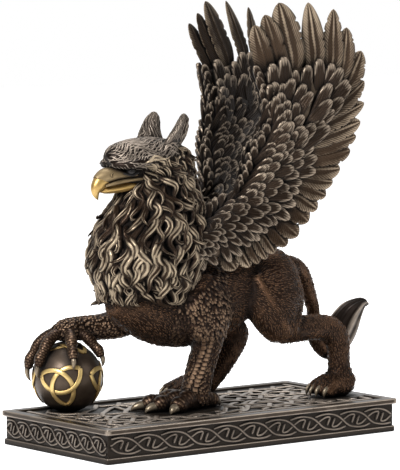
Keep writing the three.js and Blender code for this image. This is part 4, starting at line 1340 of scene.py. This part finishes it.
def plinth_block():
    """The block with its two bands and its sunk top"""
    length, width, top = PLINTH[0] / 2, PLINTH[1] / 2, PLINTH[2]
    cap = top - CAP_BAND
    # How far in from the outline, the height, and how far the brush reaches; below 0.2 the ring
    # also takes a tone of painted shade
    levels = [
        (FOOT_SETBACK + 1.6, 0, 0.3), (FOOT_SETBACK + 0.4, 0.15, 0.4), (FOOT_SETBACK, 0.6, 0.7),
        (FOOT_SETBACK, 1.2, 0.28), (FOOT_SETBACK, FOOT_BAND - 1, 0.28),
        (FOOT_SETBACK, FOOT_BAND - 0.4, 0.9), (FOOT_SETBACK + 0.4, FOOT_BAND, 0.85),
        (FRIEZE_SETBACK, FOOT_BAND + 0.1, 0), (FRIEZE_SETBACK, FOOT_BAND + 1, 0.15),
        (FRIEZE_SETBACK, cap - 1, 0.15), (FRIEZE_SETBACK, cap, 0), (0.4, cap + 0.05, 0.6),
        (0, cap + 0.45, 0.9), (0, cap + 1, 0.45), (0, top - 1, 0.45), (0, top - 0.4, 0.95),
        (0.4, top, 1), (1, top, 0.5), (RIM - 1, top, 0.5), (RIM - 0.4, top, 0.85),
        (RIM, top - 0.4, 0.5), (RIM + 0.1, top - RECESS, 0.05), (RIM + 1.4, top - RECESS, 0.1),
    ]
    rings, ridges = [], []
    for inset, z, ridge in levels:
        radius = max(CORNER_RADIUS - inset / 2, LEAST_RADIUS)
        ring, corner = rounded_ring(length - inset, width - inset, radius, z)
        rings.append(ring)
        ridges.append(np.maximum(ridge, 0.85 * corner * (ridge > 0.4)))
    rings = np.array(rings)
    form = shell(rings, stack(rings[..., 0] + rings[..., 1], rings[..., 2]), np.array(ridges))
    # The sunk ground and the set-back wall behind the frieze take a dark tone: painted shade
    form["grain"][form["ridge"] < 0.2, 2] = BACK_SHADE_TONE
    return form


dress("plinth_block", [plinth_block()], PLINTH_BRONZE, "plinth")


ROUND_BAND = [[-1, -1], [-0.92, 0.35], [-0.62, 0.86], [0, 1], [0.62, 0.86], [0.92, 0.35], [1, -1],
              [0.6, -1.2], [-0.6, -1.2]]
FLAT_BAND = [[-1, -1], [-1, 0.55], [-0.8, 0.92], [0, 1], [0.8, 0.92], [1, 0.55], [1, -1],
             [0.6, -1.2], [-0.6, -1.2]]


def band(points, out, half_width, rise, outline=ROUND_BAND, pale=1.0):
    """A raised strand, let into the ground below it"""
    outline = np.array(outline)
    section = np.broadcast_to(outline * [half_width, rise], (len(points), len(outline), 2))
    ridge = np.broadcast_to(np.clip(outline[:, 1], 0, 1) * pale, (len(points), len(outline)))
    return sweep(points, out, section, ridge)


# One repeat of the frieze: a long strand and a hooked one that cross at its middle. Shares
# of a repeat along, and mm up from the middle.
LONG_STRAND = [[-1.12, 3.56], [-0.88, 4.7], [-0.61, 4.84], [-0.34, 3.9], [-0.157, 2.3], [0, 0],
               [0.157, -2.3], [0.34, -3.9], [0.61, -4.84], [0.88, -4.7], [1.12, -3.56]]
HOOKED_STRAND = [[0.35, -1.8], [0.42, 1.0], [0.45, 2.6], [0.38, 3.1], [0.25, 2.8], [0.12, 1.5],
                 [0, 0], [-0.12, -1.5], [-0.25, -2.8], [-0.38, -3.1], [-0.45, -2.6],
                 [-0.42, -1.0], [-0.35, 1.8]]


def frieze():
    """The woven strands on all four walls"""
    middle = (FOOT_BAND + PLINTH[2] - CAP_BAND) / 2
    for wall in range(4):
        usable = PLINTH[wall % 2] - 2 * FRIEZE_SETBACK - 2 * STRAND_WIDTH
        distance = PLINTH[1 - wall % 2] / 2 - FRIEZE_SETBACK
        repeats = round(usable / (END_KNOT_PITCH if wall % 2 else SIDE_KNOT_PITCH))
        pitch = usable / repeats
        turn = math.radians(90 * wall)
        along = np.array([math.cos(turn), math.sin(turn), 0])
        out = np.array([math.sin(turn), -math.cos(turn), 0])
        for n in range(repeats + 1):
            for strand, over in ((LONG_STRAND, 1), (HOOKED_STRAND, -1)):
                rows = spline(strand, np.linspace(0, 1, 32))
                place = -usable / 2 + n * pitch + rows[:, 0] * pitch
                weave = 0.3 * over * np.cos(rows[:, 0] * 2.6 * np.pi)
                keep = np.abs(place) < usable / 2
                if keep.sum() < 8:
                    continue
                points = (along * place[keep, None] + out * (distance + weave)[keep, None]
                          + UP * (middle + rows[keep, 1:]))
                yield band(points, out, 0.58 * STRAND_WIDTH, 0.7, pale=0.75)


# The plait's border and its crossings lie these mm inside the rim and the border
BORDER_INSET, PLAIT_INSET = 5.0, 4
PLAIT_COLUMNS, PLAIT_ROWS = 11, 5
PLAIT_WEAVE = 0.32
RING_RADIUS = 13
SEAT_RADIUS = 9


def plait():
    """Strands laid on both diagonals of the sunk top, rings woven through them, and a border
    strand with pointed corners round them"""
    margin = RIM + BORDER_INSET
    length, width = PLINTH[0] - 2 * margin, PLINTH[1] - 2 * margin
    step_x = (length - 2 * PLAIT_INSET) / PLAIT_COLUMNS
    step_y = (width - 2 * PLAIT_INSET) / PLAIT_ROWS
    floor = PLINTH[2] - RECESS
    paths = []
    for side in (1, -1):
        for i in range(-PLAIT_ROWS, PLAIT_COLUMNS):
            start, end = max(0, -i - 0.5), min(PLAIT_ROWS, PLAIT_COLUMNS - i - 0.5)
            if end <= start:
                continue
            share = np.linspace(start, end, int((end - start) * 12) + 2)
            paths.append((1.05, stack(
                (share + i + 0.5) * step_x - length / 2 + PLAIT_INSET + 1.5 * np.sin(share * np.pi),
                side * (share * step_y - width / 2 + PLAIT_INSET),
                floor + PLAIT_WEAVE * side * np.cos(share * 2 * np.pi))))
    turn = np.linspace(0.02, 2 * np.pi - 0.02, 70)
    for n in range(5):
        for k in (-0.5, 0.5):
            paths.append((1.05, stack((n - 2) * 2 * step_x + RING_RADIUS * np.cos(turn),
                                      k * 2.4 * step_y + RING_RADIUS * np.sin(turn),
                                      floor + PLAIT_WEAVE * np.cos(6 * turn + n))))
    corners = np.array([[1, -1], [1, 1], [-1, 1], [-1, -1], [1, -1]]) * [length / 2, width / 2]
    for a, b in zip(corners[:-1], corners[1:]):
        share = np.linspace(0, 1, 40)[:, None]
        paths.append((1.1, stack(*(a + (b - a) * share).T, floor + 0.1)))
    for rise, path in paths:
        form = band(path, UP, PLAIT_WIDTH / 2, rise, FLAT_BAND, 1.15)
        if np.linalg.norm(form["points"][:, :2] - BALL_CENTRE[:2], axis=1).min() > SEAT_RADIUS:
            yield form


# Centre and half sizes of the low pads, which are level with the rim
PADS = [(-25, -13, 31, 15), (87, -20, 19, 13), (9, 23, 19, 13)]


def pads():
    turn = turns(64)
    for x, y, half_length, half_width in PADS:
        wander = 1 + 0.04 * np.sin(5 * turn + x)
        rings = [stack(x + np.cos(turn) * half_length * wander * k,
                       y + np.sin(turn) * half_width * wander * k, PLINTH[2] + z)
                 for k, z in ((1, -2), (1, -0.5), (0.96, -0.05), (0.9, 0.05))]
        yield shell(np.array(rings), ridge=0.3)


dress("plinth_frieze", frieze(), PLINTH_BRONZE, "plinth")
dress("plinth_plait", [*plait(), *pads()], PLINTH_BRONZE, "plinth")


# Ball

def ball_globe():
    polar, turn = np.linspace(0, 1, 66)[1:-1, None] * np.pi, turns(96)
    rings = stack(np.sin(polar) * np.cos(turn), np.sin(polar) * np.sin(turn),
                  np.cos(polar)) * BALL_RADIUS + BALL_CENTRE
    rings[..., 2] = np.maximum(rings[..., 2], PLINTH[2] - RECESS)
    return shell(rings)


dress("ball_globe", [ball_globe()], BALL_BRONZE, "ball")

KNOT_HEADINGS = (44, 134, 224, 314)
KNOT_SPIN = math.radians(220)
KNOT_RADIUS = 12.4
KNOT_HALF_WIDTH, KNOT_RISE, KNOT_WEAVE = 1.35, 0.6, 0.3


def triquetra(facing):
    """Three half circles, each through the others, wrapped on the ball. Each goes over one
    of the others and under the next."""
    outward = unit(np.asarray(facing, float))
    right = unit(np.cross(UP if abs(outward[2]) < 0.9 else [0, 1.0, 0], outward))
    upward = np.cross(outward, right)
    share = np.linspace(0, 1, 44)
    over, under = (np.exp(-((share - third / 3) / 0.09) ** 2) for third in (2, 1))
    for k in range(3):
        turn = KNOT_SPIN + k * 2 * np.pi / 3
        angle = turn + np.pi / 2 + share * np.pi
        x, y = (axis(turn) * KNOT_RADIUS / math.sqrt(3) + axis(angle) * KNOT_RADIUS
                for axis in (np.cos, np.sin))
        reach = np.hypot(x, y)
        swing = reach / BALL_RADIUS
        way = right * (x / reach)[:, None] + upward * (y / reach)[:, None]
        direction = outward * np.cos(swing)[:, None] + way * np.sin(swing)[:, None]
        height = BALL_RADIUS + 0.1 + KNOT_WEAVE * (over - under)
        yield band(BALL_CENTRE + direction * height[:, None], direction, KNOT_HALF_WIDTH,
                   KNOT_RISE, FLAT_BAND)


facings = [(math.cos(heading), math.sin(heading), -0.07) for heading in np.radians(KNOT_HEADINGS)]
knots = [form for facing in facings + [(0, 0, 1)] for form in triquetra(facing)]
dress("ball_knots", knots, KNOT_PAINT, "ball")


# Camera, light and floor

def aim(thing, place, target):
    thing.location = place
    thing.rotation_euler = (Vector(target) - Vector(place)).to_track_quat("-Z", "Y").to_euler()


# Metres, and a long lens in mm, as the photo's perspective is a flat one
CAMERA_PLACE = (-1.2008, -1.5296, 0.2909)
CAMERA_TARGET = (-0.00144, 0, 0.1205)
camera_data = bpy.data.cameras.new("camera")
camera_data.lens = 254
camera_data.sensor_width = 36
camera_data.clip_end = 20
camera = placed("camera", camera_data)
aim(camera, CAMERA_PLACE, CAMERA_TARGET)
bpy.context.scene.camera = camera

# Each light's place and size in metres, and its power in watts
LIGHTS = [("key", (-1.3, -0.5, 1.1), 0.45, 40), ("fill", (1.1, -1.2, 0.9), 0.8, 8),
          ("top", (0.2, 0.3, 1.6), 0.7, 16)]
for name, place, size, power in LIGHTS:
    light_data = bpy.data.lights.new(name, "AREA")
    light_data.size = size
    light_data.energy = power
    aim(placed(name, light_data), place, (0, 0, 0.1))

# The studio is white where the camera sees it. What lights the figurine is brighter overhead
# and behind it, and dim behind the camera.
AHEAD = (0.617, 0.787, 0.0)
OVERHEAD = (0.05, 0.35)
BEHIND = (0.0, 0.7)
world = bpy.data.worlds.new("studio")
bpy.context.scene.world = world
world.use_nodes = True
sky = world.node_tree
sky.nodes.clear()
looking = node(sky, "TexCoord").outputs["Generated"]
up = node(sky, "SeparateXYZ", looking).outputs["Z"]
overhead = node(sky, "MapRange", up, 0.0, 1.0, *OVERHEAD)
ahead = node(sky, "VectorMath", looking, AHEAD, operation="DOT_PRODUCT")
behind = node(sky, "MapRange", ahead, 0.0, 0.9, *BEHIND)
glow = node(sky, "Math", overhead, behind, operation="ADD")
in_view = node(sky, "LightPath").outputs["Is Camera Ray"]
seen = node(sky, "Mix", in_view, inputs={2: glow, 3: 1.0}, data_type="FLOAT")
backdrop = node(sky, "Background", (1, 1, 1, 1), seen)
node(sky, "OutputWorld", backdrop)
bpy.context.scene.view_settings.view_transform = "Standard"

floor_mesh = bpy.data.meshes.new("floor")
floor_mesh.from_pydata([(-4, -4, 0), (4, -4, 0), (4, 4, 0), (-4, 4, 0)], [], [(0, 1, 2, 3)])
# White backdrop paper, matt, with a glow of its own so that the horizon doesn't show
floor_paper = bpy.data.materials.new("white_backdrop_paper")
floor_paper.use_nodes = True
paper = floor_paper.node_tree.nodes["Principled BSDF"].inputs
paper["Base Color"].default_value = (0.85, 0.85, 0.85, 1)
paper["Roughness"].default_value = 0.7
paper["Emission Color"].default_value = (1, 1, 1, 1)
paper["Emission Strength"].default_value = 0.65
floor_mesh.materials.append(floor_paper)
floor = placed("floor", floor_mesh)
